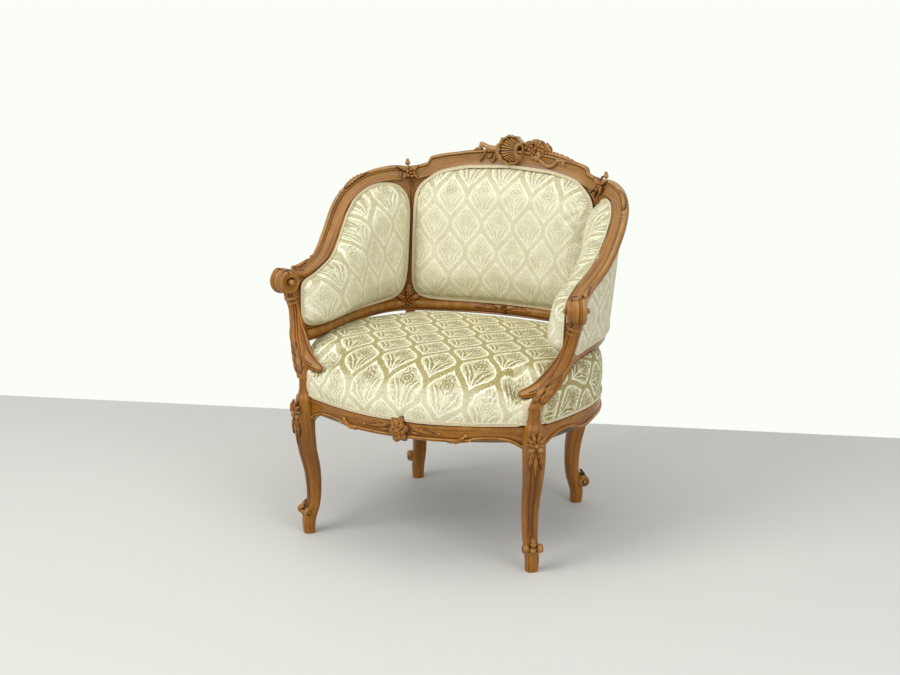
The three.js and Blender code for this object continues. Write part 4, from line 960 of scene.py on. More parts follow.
# Spans along the lower and the top line: where the cloth shows, and where it is tacked.
PAD_CROWN = {"left": 0.052, "centre": 0.05, "right": 0.056}
BAY_CORNER = {"left": 5.2, "centre": 6.6, "right": 5.2}
BAYS = {
    "left": ((-12.15, -4.27), (-16.62, -5.15), (-12.4, -4.1), (-17.0, -5.0)),
    "centre": ((-3.68, 3.68), (-4.65, 4.65), (-3.9, 3.9), (-4.9, 4.9)),
    "right": ((4.27, 12.15), (5.15, 16.62), (4.1, 12.4), (5.0, 17.0)),
}
OUTSIDE = {
    "left": ((-11.8, -4.1), (-16.4, -5.1)), "centre": ((-3.9, 3.9), (-4.9, 4.9)), "right": ((4.1, 11.8), (5.1, 16.4)),
}


def surround(name):
    """The wood between a pad's rounded outline and the rails, with a bead along its inner edge."""
    lower_span, top_span, lower_wide, top_wide = BAYS[name]
    near, far = bay(lower_span, top_span), bay(lower_wide, top_wide, into=0.006)
    u, v = ring_shares(1.0, 240, corner=BAY_CORNER[name])
    inner, normal = near(u, v)
    stretch = 0.5 / np.maximum(np.abs(u - 0.5), np.abs(v - 0.5))
    outer, _ = far(0.5 + (u - 0.5) * stretch, 0.5 + (v - 0.5) * stretch)
    reach = np.linalg.norm(outer - inner, axis=1, keepdims=True)
    way = (outer - inner) / np.maximum(reach, 1e-6)
    high = (2.2 + 4.2 * v)[:, None]
    steps = ((0, -6, 0.5), (-0.3, 0.4, 0.3), (0.3, 0.9, 0.05), (1.6, 1.15, 0.0), (3.2, 1.0, 0.05), (4.6, 0.5, 0.5),
             (5.4, 0.05, 0.95), (7.4, -0.2, 0.4), (12, -0.35, 0.25))
    columns, tones = [], []
    for step, rise, tone in steps:
        lift = rise * high * MM if rise > -1 else np.full_like(high, rise * MM)
        columns.append(inner + way * np.minimum(step * MM, reach) + normal * lift)
        tones.append(tone)
    for share, rise, tone in ((0.75, -0.2, 0.2), (1.0, 0.1, 0.3), (1.0, -7.0, 0.4), (0.0, -7.0, 0.4)):
        columns.append(inner + way * np.maximum(reach * share, np.minimum(reach, 0.012 * share)) + normal * rise * MM)
        tones.append(tone)
    return Carving().grid(np.stack(columns, axis=1), np.array(tones)[None, :], around=True, closed=True)


# Upholstery.
def baked(piece):
    """Replaces a piece's mesh with what its modifiers make of it."""
    graph = bpy.context.evaluated_depsgraph_get()
    made = bpy.data.meshes.new_from_object(piece.evaluated_get(graph))
    old = piece.data
    piece.modifiers.clear()
    piece.data = made
    bpy.data.meshes.remove(old)


def places(piece):
    """Vertex places of a piece's mesh as an array."""
    found = np.empty(len(piece.data.vertices) * 3)
    piece.data.vertices.foreach_get("co", found)
    return found.reshape(-1, 3)


def put(piece, points):
    piece.data.vertices.foreach_set("co", np.asarray(points, float).ravel())
    piece.data.update()


def cleared(piece, solids, gap=0.0008):
    """Moves a soft skin out of the carvings that it would pass through."""
    points = places(piece)
    for solid in solids:
        shape = bare("clearance", solid)
        low, high = (np.array(solid.points).min(axis=0), np.array(solid.points).max(axis=0))
        near = np.all((points > low - gap) & (points < high + gap), axis=1)
        tree = BVHTree.FromPolygons([v.co for v in shape.data.vertices], [p.vertices for p in shape.data.polygons])
        for i in np.nonzero(near)[0]:
            hit, normal, _, _ = tree.find_nearest(points[i])
            if (Vector(points[i]) - hit).dot(normal) < gap:
                points[i] = hit + normal * gap
        bpy.data.meshes.remove(shape.data)
    put(piece, points)


def pressed(piece):
    """Lowers the seat's skin where the tongues of the arm posts lie on it."""
    points = places(piece)
    path, _ = tongue_line(40)
    way = unit(path[-1, :2] - path[0, :2])
    inward = np.array([way[1], -way[0]])
    for side in (-1, 1):
        gap = points[:, None, :2] * (side, 1) - path[None, :, :2]
        nearest = (gap**2).sum(axis=2).argmin(axis=1)
        gap = gap[np.arange(len(points)), nearest]
        across, past = gap @ inward, gap @ way
        limit = path[nearest, 2] - 0.011 + 1.3 * np.maximum(0, across - 0.013) - 0.1 * np.maximum(0, -across)
        over = points[:, 2] - limit - 0.9 * np.maximum(0, past - 0.006)
        points[:, 2] -= np.where(points[:, 2] > SEAT_LEVEL + 0.03, np.logaddexp(0, over / 0.003) * 0.003, 0)
    put(piece, points)


def notched(piece):
    """Turns the seat's skin in round the block over each front leg and the foot of the post on it."""
    points = places(piece)
    centres = np.array(leg_line("front")[0][8:] + list(scaled(ARM_POST_SHARES[1:4], SEAT_LEVEL)))
    outward = np.array([math.sin(math.pi / 4), -math.cos(math.pi / 4)])
    for side in (-1, 1):
        middle = np.stack([np.interp(points[:, 2], centres[:, 2], centres[:, k]) for k in (0, 1)], axis=1)
        gap = points[:, :2] * (side, 1) - middle
        out, beside = gap @ outward, np.abs(gap[:, 1] * outward[0] - gap[:, 0] * outward[1])
        bend = 0.014
        past = np.clip(beside - 0.009, 0, bend)
        limit = -0.005 + np.sqrt(bend**2 - (bend - past) ** 2) + 9 * np.maximum(0, beside - 0.009 - bend)
        back = np.where((np.abs(gap).max(axis=1) < 0.05) & (points[:, 2] < 0.47), np.maximum(0, out - limit), 0)
        points[:, :2] -= back[:, None] * outward * (side, 1)
    put(piece, points)


def stuffed(piece, held, voxel=0.005, cap=0.006, smooth=10, pressure=4.0):
    """Fills a soft piece: an even skin, blown up a little by cloth simulation where it isn't held down."""
    skin = piece.modifiers.new("skin", "REMESH")
    skin.mode, skin.voxel_size = "VOXEL", voxel
    baked(piece)
    ease = piece.modifiers.new("ease", "SMOOTH")
    ease.factor, ease.iterations = 0.5, smooth
    baked(piece)
    before = places(piece)
    pinned = piece.vertex_groups.new(name="tacked")
    pinned.add([int(i) for i in np.nonzero(held(before))[0]], 1.0, "REPLACE")
    cloth = piece.modifiers.new("stuffing", "CLOTH")
    cloth.settings.use_pressure = True
    cloth.settings.uniform_pressure_force = pressure
    cloth.settings.effector_weights.gravity = 0
    cloth.settings.vertex_group_mass = pinned.name
    cloth.settings.quality = 5
    for moment in range(1, 21):
        bpy.context.scene.frame_set(moment)
    baked(piece)
    bpy.context.scene.frame_set(1)
    moved = places(piece) - before
    far = np.linalg.norm(moved, axis=1, keepdims=True)
    put(piece, before + moved * np.minimum(1, cap / np.maximum(far, 1e-9)))
    piece.vertex_groups.clear()
    fine = piece.modifiers.new("fine", "SUBSURF")
    fine.levels = fine.render_levels = 1
    baked(piece)


def normals(piece):
    found = np.empty(len(piece.data.vertices) * 3)
    piece.data.vertices.foreach_get("normal", found)
    return found.reshape(-1, 3)


def covered(piece, cloth, unsheened, material, nodes):
    """Gives a soft piece its cloth: places on the cloth in metres and how much of its pattern shows through a painted
    pale sheen.
    """
    mesh = piece.data
    mesh.attributes.new("cloth", "FLOAT_VECTOR", "POINT").data.foreach_set("vector", np.ravel(cloth))
    mesh.attributes.new("unsheened", "FLOAT", "POINT").data.foreach_set("value", np.ravel(unsheened))
    mesh.materials.clear()
    mesh.materials.append(material)
    mesh.shade_smooth()
    return dressed(piece, nodes)


def bare(name, carving):
    """A soft piece's first, plain mesh as an object."""
    mesh = bpy.data.meshes.new(name)
    mesh.from_pydata([tuple(p) for p in carving.points], [], carving.faces)
    tidy = bmesh.new()
    tidy.from_mesh(mesh)
    bmesh.ops.recalc_face_normals(tidy, faces=tidy.faces)
    tidy.to_mesh(mesh)
    tidy.free()
    piece = bpy.data.objects.new(name, mesh)
    bpy.context.scene.collection.objects.link(piece)
    return piece


SEAT_CROWN = 0.126
SEAT_SIDE_TALL = 0.104
SEAT_FRONT_TALL = 0.048
SEAT_BULGE = 0.007
SEAT_HOLLOW_INSET = 0.040
SEAT_HOLLOW_TALL = 0.048
FRONT_LEG_INDEX = 5
REAR_LEG_INDEX = 12
SEAT_ROWS = [
    (-0.4, 0, 0, 0), (0.4, 0.12, 0, 0), (1, 0.45, 0, 0), (0.85, 0.75, 0, 0), (0, 1, 0, 0), (-2, 1, 0.35, 0),
    (-4.8, 1, 0.55, 0), (-4.8, 1, 0.78, 0.13), (-4.8, 1, 0.93, 0.33), (-4.8, 1, 1, 0.65), (-4.8, 1, 1.01, 0.97),
]


def seat_side(index):
    """Height of the seat's upright side, lower across the front."""
    away = np.minimum(np.abs(index), WHOLE_PLAN - np.abs(index))
    share = eased(away, FRONT_LEG_INDEX - 1.5, FRONT_LEG_INDEX + 2.5)
    return SEAT_FRONT_TALL + (SEAT_SIDE_TALL - SEAT_FRONT_TALL) * share


def seat_skin():
    """The seat's closed form: its crown, its upright sides and the hollow for the springs."""
    index = np.linspace(0, WHOLE_PLAN, 193)[:-1]
    side = seat_side(index)
    centre = np.array([0, -0.06 * HALF_DEPTH + SHIFT, 0])
    steps = np.linspace(0, len(SEAT_ROWS) - 1, 41)
    shares = np.stack([smooth_line([(row[k], row[k + 1], 0) for row in SEAT_ROWS])(steps)[0][:, :2] for k in (0, 2)], axis=1)
    grid = []
    for (swell, sides), (crown, shrink) in shares:
        place, _, _ = seat_plan(index, -swell * SEAT_BULGE)
        place = place + (centre - place) * shrink
        place[:, 2] = SEAT_LEVEL + 0.0005 + sides * side + crown * (SEAT_CROWN - side)
        grid.append(place)
    for inset, height, shrink in ((SEAT_HOLLOW_INSET, 0.0005, 0), (SEAT_HOLLOW_INSET, SEAT_HOLLOW_TALL, 0), (SEAT_HOLLOW_INSET, SEAT_HOLLOW_TALL, 0.97)):
        place, _, _ = seat_plan(index, inset)
        place = place + (centre - place) * shrink
        place[:, 2] = SEAT_LEVEL + height
        grid.insert(0, place)
    return Carving().grid(np.array(grid), around=True, ends=True)


def seat_cloth(points):
    """Places on the seat's cloth: over the top as seen from above, then on down the sides."""
    index = np.linspace(0, WHOLE_PLAN, 241)[:-1]
    edge, _, inward = seat_plan(index)
    tall = SEAT_LEVEL + seat_side(index)
    found = np.empty((len(points), 3))
    for low in range(0, len(points), 4000):
        part = points[low:low + 4000]
        away = ((part[:, None, :2] - edge[None, :, :2]) ** 2).sum(axis=2)
        weight = np.exp(-(away - away.min(axis=1, keepdims=True)) / 0.0006)
        weight /= weight.sum(axis=1, keepdims=True)
        down = np.maximum(0, weight @ tall - part[:, 2])
        outward = unit(-(weight @ inward))
        found[low:low + 4000] = part * (1, 1, 0) + outward * (1, 1, 0) * down[:, None]
    return found - SEAT_PHASE


SEAT_PHASE = np.array([0.001, -0.155, 0.0])
BACK_PHASE = np.array([-0.052, 0.770, 0.0])
BACK_REPEAT = np.array([1.075, 1.05, 1])  # the seat's cloth is stretched, so the back's repeat is smaller


def pad_cloth(points, name):
    """Places on a back pad's cloth: along the plan of its rail, and up."""
    lower_span, top_span = BAYS[name][:2]
    u = np.linspace(-0.05, 1.05, 221)
    middle, _ = bay(lower_span, top_span)(u, 0.5)
    middle[:, 2] = 0
    run = np.concatenate([[0], np.cumsum(np.linalg.norm(np.diff(middle, axis=0), axis=1))])
    run -= np.interp(0.5, u, run)
    found = np.empty((len(points), 3))
    for low in range(0, len(points), 4000):
        part = points[low:low + 4000]
        away = ((part[:, None, :2] - middle[None, :, :2]) ** 2).sum(axis=2)
        weight = np.exp(-(away - away.min(axis=1, keepdims=True)) / 0.00015)
        weight /= weight.sum(axis=1, keepdims=True)
        found[low:low + 4000] = np.stack([weight @ run, part[:, 2], 0 * part[:, 2]], axis=1)
    return (found - BACK_PHASE) * BACK_REPEAT


def back_pad(name):
    """A back pad: tight over its stuffing, crowned, and rounded down to the rails."""
    surface = bay(*BAYS[name][:2], into=0.0015)
    rings = np.concatenate([np.linspace(0.03, 0.88, 16), np.linspace(0.91, 0.998, 8), [1.0]])
    grid = []
    for ring, front in [(r, True) for r in rings] + [(r, False) for r in rings[::-1]]:
        u, v = ring_shares(ring, 176, corner=BAY_CORNER[name])
        lift = 0.005 + PAD_CROWN[name] * (1 - ring**5) ** 0.6 if front else -0.003
        grid.append(surface(u, v, lift)[0])
    piece = bare(name + "_back_pad_cover", Carving().grid(np.array(grid), around=True, ends=True))
    stuffed(piece, lambda p: flat_side(p, surface), cap=0.005)
    facing = normals(piece)
    # Painted sheen: the pad's pattern is mostly washed pale, a little more where it faces the front and less where it
    # faces up.
    unsheened = 0.34 + 0.06 * (1 - eased(-facing[:, 1], 0.35, 0.95)) + 0.3 * eased(facing[:, 2], 0.3, 0.75)
    return covered(piece, pad_cloth(places(piece), name), unsheened, VELVET, [name + "_back_pad"])


def flat_side(points, surface):
    """Which points lie on the tacked back of a pad, behind its middle surface."""
    u = np.linspace(0, 1, 41)
    grid, normal = surface(u[:, None], u[None, :])
    grid, normal = grid.reshape(-1, 3), normal.reshape(-1, 3)
    behind = np.zeros(len(points), bool)
    for low in range(0, len(points), 2000):
        part = points[low:low + 2000]
        nearest = ((part[:, None] - grid[None]) ** 2).sum(axis=2).argmin(axis=1)
        behind[low:low + 2000] = ((part - grid[nearest]) * normal[nearest]).sum(axis=1) < 0.002
    return behind


def resampled(path, normal, step, closed=False):
    """A path and its normals at an even step."""
    if closed:
        path, normal = np.vstack([path, path[:1]]), np.vstack([normal, normal[:1]])
    run = np.concatenate([[0], np.cumsum(np.linalg.norm(np.diff(path, axis=0), axis=1))])
    even = np.linspace(0, run[-1], max(int(run[-1] / step), 8) + 1)
    spread = lambda values: np.stack([np.interp(even, run, values[:, k]) for k in range(3)], axis=1)
    path, normal = spread(path), unit(spread(normal))
    return (path[:-1], normal[:-1], even[:-1]) if closed else (path, normal, even)


def gimp(name, path, normal, nodes=(), closed=False, wide=0.0088, thick=0.0026):
    """A length of braided gimp glued along the edge of the cloth: two cords and looped braid between."""
    path, normal, run = resampled(path, normal, 0.0016, closed)
    along = np.roll(path, -1, axis=0) - np.roll(path, 1, axis=0) if closed else np.gradient(path, axis=0)
    side = unit(np.cross(unit(along), normal))
    s = np.linspace(-1, 1, 13)[None, :]
    cords = np.exp(-(((np.abs(s) - 0.78) / 0.17) ** 2)) * (0.82 + 0.18 * np.cos(run[:, None] * 2 * math.pi / 0.0034 + 2.2 * s))
    loops = np.exp(-((s / 0.4) ** 2)) * (0.62 + 0.38 * np.cos(run[:, None] * 2 * math.pi / 0.0062 + 2.6 * np.abs(s)))
    rise = np.maximum(cords, loops)
    lift = thick * (0.25 + 0.75 * rise) * (np.abs(s) < 0.99) - 0.0012 * (np.abs(s) > 0.99)
    points = path[:, None] + side[:, None] * (s * wide / 2)[..., None] + normal[:, None] * lift[..., None]
    under = path[:, None] - normal[:, None] * 0.0012
    # Tone for painted shade: high where the braid dips and on its underside.
    carving = Carving().grid(np.concatenate([points, under], axis=1), np.concatenate([1 - rise, 0 * run[:, None] + 1], axis=1),
                             around=True, closed=closed, ends=not closed)
    return carving.make(name, GIMP, "gimp", nodes, sharp=180)


def outside_panel(name):
    """The cloth that closes a bay outside, stretched between the rails and tacked round its edge."""
    surface = outside(*OUTSIDE[name])
    rings = np.concatenate([np.linspace(0.02, 0.95, 18), [1.0]])
    grid = [surface(*ring_shares(r, 144, corner=5), 0.0)[0] for r in rings]
    grid += [surface(*ring_shares(r, 144, corner=5), -0.0016 - 0.002 * (1 - r**2))[0] for r in rings[::-1]]
    piece = bare(name + "_outside_cloth", Carving().grid(np.array(grid), around=True, ends=True))
    shape = np.array(grid[len(rings):])
    cloth = pad_cloth(places(piece), name)
    covered(piece, cloth, np.full(len(cloth), 0.5), VELVET, [name + "_outside_panel"])
    edge, normal = surface(*ring_shares(0.985, 300, corner=5), -0.0018)
    gimp(name + "_outside_gimp", edge, -normal, closed=True)
    return piece


def edge_gimp(name):
    """The gimp round a back pad, where its cloth meets the wood."""
    surface = bay(*BAYS[name][:2])
    u, v = ring_shares(1.013, 400, corner=BAY_CORNER[name])
    edge, normal = surface(u, v, (2.2 + 4.2 * np.clip(v, 0, 1)) * 1.15 * MM + 0.0016)
    return gimp(name + "_pad_gimp", edge, normal, closed=True, wide=0.0085)


def seat():
    """The sprung seat under its tight cover."""
    piece = bare("seat_cover", seat_skin())

    def held(points):
        hollow = (points[:, 2] < SEAT_LEVEL + SEAT_HOLLOW_TALL + 0.004)
        index = np.linspace(0, WHOLE_PLAN, 121)[:-1]
        inner = seat_plan(index, 0.03)[0][:, :2]
        outer = seat_plan(index, 0.0)[0][:, :2]
        away = lambda ring: np.array([((ring - p[:2]) ** 2).sum(axis=1).min() for p in points])
        return (points[:, 2] < SEAT_LEVEL + 0.006) | (hollow & (away(inner) < away(outer))) | (hollow & inside_plan(points))

    stuffed(piece, held, cap=0.006, smooth=14, pressure=9.0)
    pressed(piece)
    notched(piece)
    shells = [tongue(), rear_leg()]
    cleared(piece, [shape for right in shells for shape in (right, right.mirrored())])
    facing = normals(piece)
    # Painted sheen: where the cover faces the front, towards the lamps, its pattern is washed pale.
    unsheened = 1 - 0.55 * eased(-facing[:, 1], 0.45, 0.95)
    return covered(piece, seat_cloth(places(piece)), unsheened, VELVET, ["seat_cushion"])


def inside_plan(points):
    """Which points lie well inside the seat's outline."""
    index = np.linspace(0, WHOLE_PLAN, 121)[:-1]
    ring = seat_plan(index, 0.036)[0][:, :2]
    centre = ring.mean(axis=0)
    angle = np.arctan2(*(ring - centre).T[::-1])
    order = np.argsort(angle)
    reach = np.linalg.norm(ring - centre, axis=1)
    flat = points[:, :2] - centre
    limit = np.interp(np.arctan2(flat[:, 1], flat[:, 0]), angle[order], reach[order], period=2 * math.pi)
    return np.linalg.norm(flat, axis=1) < limit


def hugging(piece, points, lift=0.0006):
    """Points and normals on a soft piece, nearest to a drawn line that is rounded first."""
    points = smooth_line(points)(np.linspace(0, len(points) - 1, 14 * len(points)))[0]
    mesh = piece.data
    tree = BVHTree.FromPolygons([v.co for v in mesh.vertices], [p.vertices for p in mesh.polygons])
    found = [tree.find_nearest(p)[:2] for p in points]
    normal = unit(np.array([n for _, n in found]))
    place = np.array([p for p, _ in found]) + normal * lift
    for _ in range(6):
        place[1:-1] = (place[:-2] + 2 * place[1:-1] + place[2:]) / 4
        normal[1:-1] = unit(normal[:-2] + 2 * normal[1:-1] + normal[2:])
    return place, normal


FRONT_TURN = (
    (0.2615, -0.2620, 0.3545), (0.2715, -0.2585, 0.358), (0.2765, -0.2560, 0.367), (0.2775, -0.2545, 0.383),
    (0.2740, -0.2525, 0.398), (0.2655, -0.2490, 0.408),
)
SIDE_TURN = (
    (0.3380, -0.2010, 0.452), (0.3270, -0.2140, 0.430), (0.3165, -0.2235, 0.405), (0.3105, -0.2275, 0.385),
    (0.3090, -0.2275, 0.368), (0.3105, -0.2235, 0.358), (0.3155, -0.2145, 0.3545),
)


def seat_gimps(cover):
    """Gimp along the seat's lower edge, turned up round its corners beside the foot of each arm post."""
    def low(start, stop, count):
        return [seat_plan([i], -0.004, SEAT_LEVEL + 0.0052)[0][0] for i in np.linspace(start, stop, count)]

    half = low(0, 4.0, 12) + [np.array(p) for p in FRONT_TURN]
    path, normal = hugging(cover, [p * (-1, 1, 1) for p in half[::-1]] + half[1:])
    gimp("seat_gimp_front", path, normal, ["front_seat_gimp"])
    side = [np.array(p) for p in SIDE_TURN] + low(5.75, 11.55, 14)
    for name, way in (("right", 1), ("left", -1)):
        path, normal = hugging(cover, [p * (way, 1, 1) for p in side])
        gimp("seat_gimp_" + name, path, normal, [name + "_seat_gimp"], wide=0.0072)
    path, normal = hugging(cover, low(12.4, 17.6, 14))
    gimp("seat_gimp_back", path, normal)


def dust_cover():
    """Black lining tacked under the seat rails, hanging a little in the middle."""
    top = SEAT_LEVEL - SEAT_RAIL_TALL - 0.0026
    index = np.linspace(0, WHOLE_PLAN, 181)[:-1]
    centre = np.array([0, -0.06 * HALF_DEPTH + SHIFT, 0])
    edge, _, _ = seat_plan(index, SEAT_RAIL_THICK / 3)
    grid = []
    for ring, below in [(r, 0.0) for r in np.linspace(0.02, 1, 26)] + [(r, 0.0008) for r in np.linspace(1, 0.02, 26)]:
        place = centre + (edge - centre) * ring
        ripple = 0.0006 * np.sin(index * 5.1) * eased(ring, 0.5, 0.95)
        place[:, 2] = top - below - 0.0035 * (1 - ring**2) - ripple * (ring < 0.99)
        grid.append(place)
    piece = bare("dust_cover_cloth", Carving().grid(np.array(grid), around=True, ends=True))
    flat = places(piece) * (1, 1, 0)
    x, y = edge[:, 0], edge[:, 1]
    area = float(abs((x * np.roll(y, -1) - y * np.roll(x, -1)).sum()) / 2)
    covered(piece, flat, np.zeros(len(flat)), LINING, ["dust_cover"])
    float(np.ptp(x)) + 0.02
    float(np.ptp(y)) + 0.02


def traced(values, count):
    """Values spread evenly over a count of steps."""
    return np.interp(np.linspace(0, 1, count), np.linspace(0, 1, len(values)), values)


def rail_run(reader, index, heights, lift, count=24):
    """A line traced on a rail through indices and heights in millimetres, for a leaf or a scroll."""
    path, side, out, _ = on_rail(reader, traced(index, count), traced(heights, count) * MM, lift)
    return path, side, out


def seat_frame(index):
    """Place, along, up and outward directions on the middle of the seat rails' face."""
    place, along, inward = seat_plan(index, 0.0, SEAT_LEVEL - SEAT_RAIL_TALL / 2)
    return place, along, np.repeat(UP[None], len(place), axis=0), -inward


def front_rail_carving(carving):
    """Adds the rosette of the front rail, a sprig on each side of it and the curls of its lower edge."""
    front, right = np.array([0, -1.0, 0]), np.array([1.0, 0, 0])
    centre = np.array([0.0, -FRONT_SHARE * HALF_DEPTH + SHIFT - 0.001, SEAT_LEVEL - SEAT_RAIL_TALL / 2])
    for turn, radius, raised in ((0, 0.031, 0.0), (0.5, 0.023, 0.0035), (0.2, 0.014, 0.007)):
        for k in range(6):
            angle = math.radians(60 * (k + turn) + 10)
            way = right * math.cos(angle) * 0.88 + UP * math.sin(angle) * 1.12
            t = np.linspace(0, 1, 12)[:, None]
            path = centre + way * radius * (0.12 + 0.88 * t) + front * (raised - 0.0035 * (2 * t - 1) ** 2 + 0.001)
            across = np.repeat(np.cross(front, unit(way))[None], 12, axis=0)
            carving.leaf(path, across, np.repeat(front[None], 12, axis=0), radius * 0.46, 0.0075, lobes=1)
    carving.ball(centre + front * 0.011, 0.005)
    for way in (-1, 1):
        for index, heights, wide, lobes in (
            ((0.42, 1.5), (6, 2, -1, -3), 0.0055, 6), ((0.42, 0.95), (-3, -6, -5), 0.004, 4), ((0.75, 1.2), (5, 8, 9), 0.0035, 3),
        ):
            carving.leaf(*rail_run(seat_frame, [way * i for i in index], heights, -0.0025), wide, 0.0035, lobes=lobes)
        for index, height in ((0.62, 7), (0.7, 2), (0.9, 4), (1.62, -3)):
            carving.ball(on_rail(seat_frame, [way * index], height * MM, -0.002)[0][0], 0.0028)
        path, side, out = rail_run(seat_frame, [way * i for i in (1.9, 2.2, 2.42, 2.5)], (-19, -19, -13, -4), 0.001)
        carving.leaf(path, side, out, 0.0055, 0.005, lobes=2)
        carving.roll(path + side * 0.003, 0.0026 * np.sin(np.linspace(0.5, 2.4, len(path))), tone=0.0)
        carving.ball(path[-1], 0.0046)
        carving.ball(on_rail(seat_frame, [way * 2.62], -15 * MM, 0.001)[0][0], 0.0036)
    return carving


def shell(carving, middle, right, up, out):
    """Adds a scallop shell whose flutes spread from a deep hollow at its right, inside a thick ruffled rim."""
    eye = np.array([0.027, 0.0])
    rho = np.linspace(0, 1, 52)[:, None] ** 1.15
    theta = np.linspace(0, 2 * math.pi, 240, endpoint=False)[None, :]
    ribs = np.abs(np.cos(11 * theta)) ** 0.7
    ruffle = np.cos(11 * theta) + 0.5 * np.cos(22 * theta + 1)
    edge_x = SHELL_HALF_WIDE * np.cos(theta) * (0.965 + 0.03 * ruffle)
    edge_y = SHELL_TALL / 2 * np.sin(theta) * (0.965 + 0.03 * ruffle)
    x, y = eye[0] * (1 - rho) + edge_x * rho, eye[1] * (1 - rho) + edge_y * rho
    away = np.hypot((x - eye[0]) / 0.0085, (y - eye[1]) / 0.0115)
    pit = 1 - eased(away, 0.55, 1.1)
    lip = np.exp(-(((away - 1.3) / 0.28) ** 2))
    rim = eased(rho, 0.8, 0.85) * (1 - eased(rho, 0.95, 1.0))
    fan = ribs * eased(away, 1.4, 2.5) * (1 - eased(rho, 0.74, 0.8))
    rise = 0.003 + 0.006 * rho - 0.014 * pit + 0.0035 * lip + 0.0045 * fan + rim * (0.0045 + 0.0018 * ruffle)
    rise = rise - 0.022 * eased(rho, 0.94, 1.0) ** 2
    groove = (1 - ribs) * eased(away, 1.3, 2.2) * (rho < 0.82)
    folds = (1 - ribs) * np.exp(-(((rho - 0.87) / 0.04) ** 2))
    tone = np.clip(pit + 0.8 * groove + 0.8 * folds + 0.95 * np.exp(-(((rho - 0.79) / 0.028) ** 2)) + 0.06, 0, 1)
    carving.grid(middle + right * x[..., None] + up * y[..., None] + out * rise[..., None], tone, around=True)
    ring = middle + right * edge_x[0][:, None] * 0.97 + up * edge_y[0][:, None] * 0.97
    layers = (ring - out * 0.012, ring - out * 0.0155, middle + (ring - middle) * 0.85 - out * 0.018,
              middle + (ring - middle) * 0.02 - out * 0.018)
    carving.grid(np.stack(layers), 0.35, around=True)


# Carving on the crest: index, height in millimetres, radius for each flower, then lines of leaves and scrolls.
CREST_FLOWERS = (
    (0.5, 36, 14.5), (0.8, 39, 16), (1.06, 33, 13.5), (0.62, 22, 12.5), (0.9, 23, 12),
)
CREST_LEAVES = (
    ((0.5, 0.85), (44, 50, 52), 7, 6, 3), ((0.95, 1.35), (44, 44, 34, 26), 8, 6, 4), ((0.55, 0.9), (12, 8, 6), 7, 5, 3),
    ((0.95, 1.6, 2.9), (24, 27, 25, 21), 6.5, 5, 9), ((-0.45, -0.72), (22, 20, 19), 6.5, 6, 3),
    ((-0.66, -0.92), (22, 8, -9), 6, 6, 4), ((-0.5, -0.7), (14, 5, 2), 6.5, 5, 3), ((-0.8, -1.15), (24, 26, 21), 5, 4, 3),
    ((-0.42, -0.6), (0, -6, -8), 5, 4, 3),
)
CREST_SCROLLS = (
    ((-0.35, -0.5, -0.65, -0.78, -0.86, -0.84), (23, 24, 28, 35, 37, 32), (9, 8, 7, 6.2, 6, 4)),
    ((0.8, 0.86, 0.84, 0.78, 0.76), (23, 17, 9, 4, 10), (5, 5.5, 5, 4, 3)),
    ((0.88, 1.05, 1.25, 1.45, 1.56, 1.62), (6, -2, -7, -3, 6, 15), (2.6, 3.8, 4.4, 4.2, 3.6, 2.4)),
    ((1.56, 1.7, 1.85, 2.0, 1.96), (8, 14, 17, 13, 9), (2.6, 3.6, 4, 3.2, 2.4)),
)
SHOULDER_LEAVES = (
    ((5.0, 4.98, 4.96), (6, -14, -33), 11, 5), ((5.0, 4.6, 4.5), (0, -12, -27), 9.5, 4), ((5.04, 5.5, 5.6), (0, -11, -24), 9.5, 4),
    ((5.0, 4.6, 4.3), (4, 8, 12), 8, 4), ((5.04, 5.5, 5.9), (4, 9, 13), 8, 4), ((5.0, 5.02, 5.04), (0, 13, 25), 9, 3),
)


def crest_carving(carving):
    """Adds the shell of the crest, the horn on its left, the flowers and scrolls on its right and the shoulders' sprays."""
    place, _, across, face = (v[0] for v in top_frame([0.0]))
    high = (SEAT_LEVEL + BACK_RISE - SHELL_TALL / 2 - place[2]) / across[2]
    shell(carving, place + across * high + face * (RAIL_HALF_THICK - 0.002), np.array([1.0, 0, 0]), across, face)
    for index, heights, wide, tall, lobes in CREST_LEAVES:
        carving.leaf(*rail_run(top_frame, index, heights, 0.0105), wide * MM, tall * MM, lobes=lobes)
    for index, heights, radii in CREST_SCROLLS:
        path, _, _ = rail_run(top_frame, index, heights, 0.0125, count=7 * len(index))
        path = smooth_line(path[::3])(np.linspace(0, len(path[::3]) - 1, 40))[0]
        carving.roll(path, traced(radii, 40) * MM, tone=0.12)
        carving.ball(path[-1], radii[-1] * 1.7 * MM)
    for index, rise, radius in ((0.5, 28, 0.013), (0.72, 30, 0.016), (0.95, 31, 0.015)):
        carving.ball(on_rail(top_frame, [index], rise * MM, -0.003)[0][0], radius, tone=0.5)
    for index, rise, size in CREST_FLOWERS:
        spot, side, out, along = (v[0] for v in on_rail(top_frame, [index], rise * MM, 0.0095))
        carving.flower(spot, along, side, out, size * MM, 0.009, petals=5)
        carving.ball(spot - out * 0.006, size * MM, tone=0.6)
    for way in (-1, 1):
        for index, heights, wide, lobes in SHOULDER_LEAVES:
            line = rail_run(top_frame, [way * i for i in index], heights, 0.0125)
            carving.leaf(*line, wide * MM, 0.006, lobes=lobes)
        spot, side, out, along = (v[0] for v in on_rail(top_frame, [way * 5.0], -0.003, 0.0145))
        carving.flower(spot, along, side, out, 0.0155, 0.010, petals=5)
        spot, _, _, _ = (v[0] for v in on_rail(top_frame, [way * 5.03], 0.0265, 0.004))
        carving.ball(spot, 0.0068)
        carving.ball(spot + UP * 0.0075, 0.0045)
    return carving


ARM_LEAVES = (((16.55, 15.2), (13, 15, 15, 15), 8, 5.5, 8), ((9.2, 7.3), (14, 15, 15, 14), 7.5, 5, 8),
              ((16.9, 16.2), (-8, -8, -12, -15), 6.5, 3.5, 4))


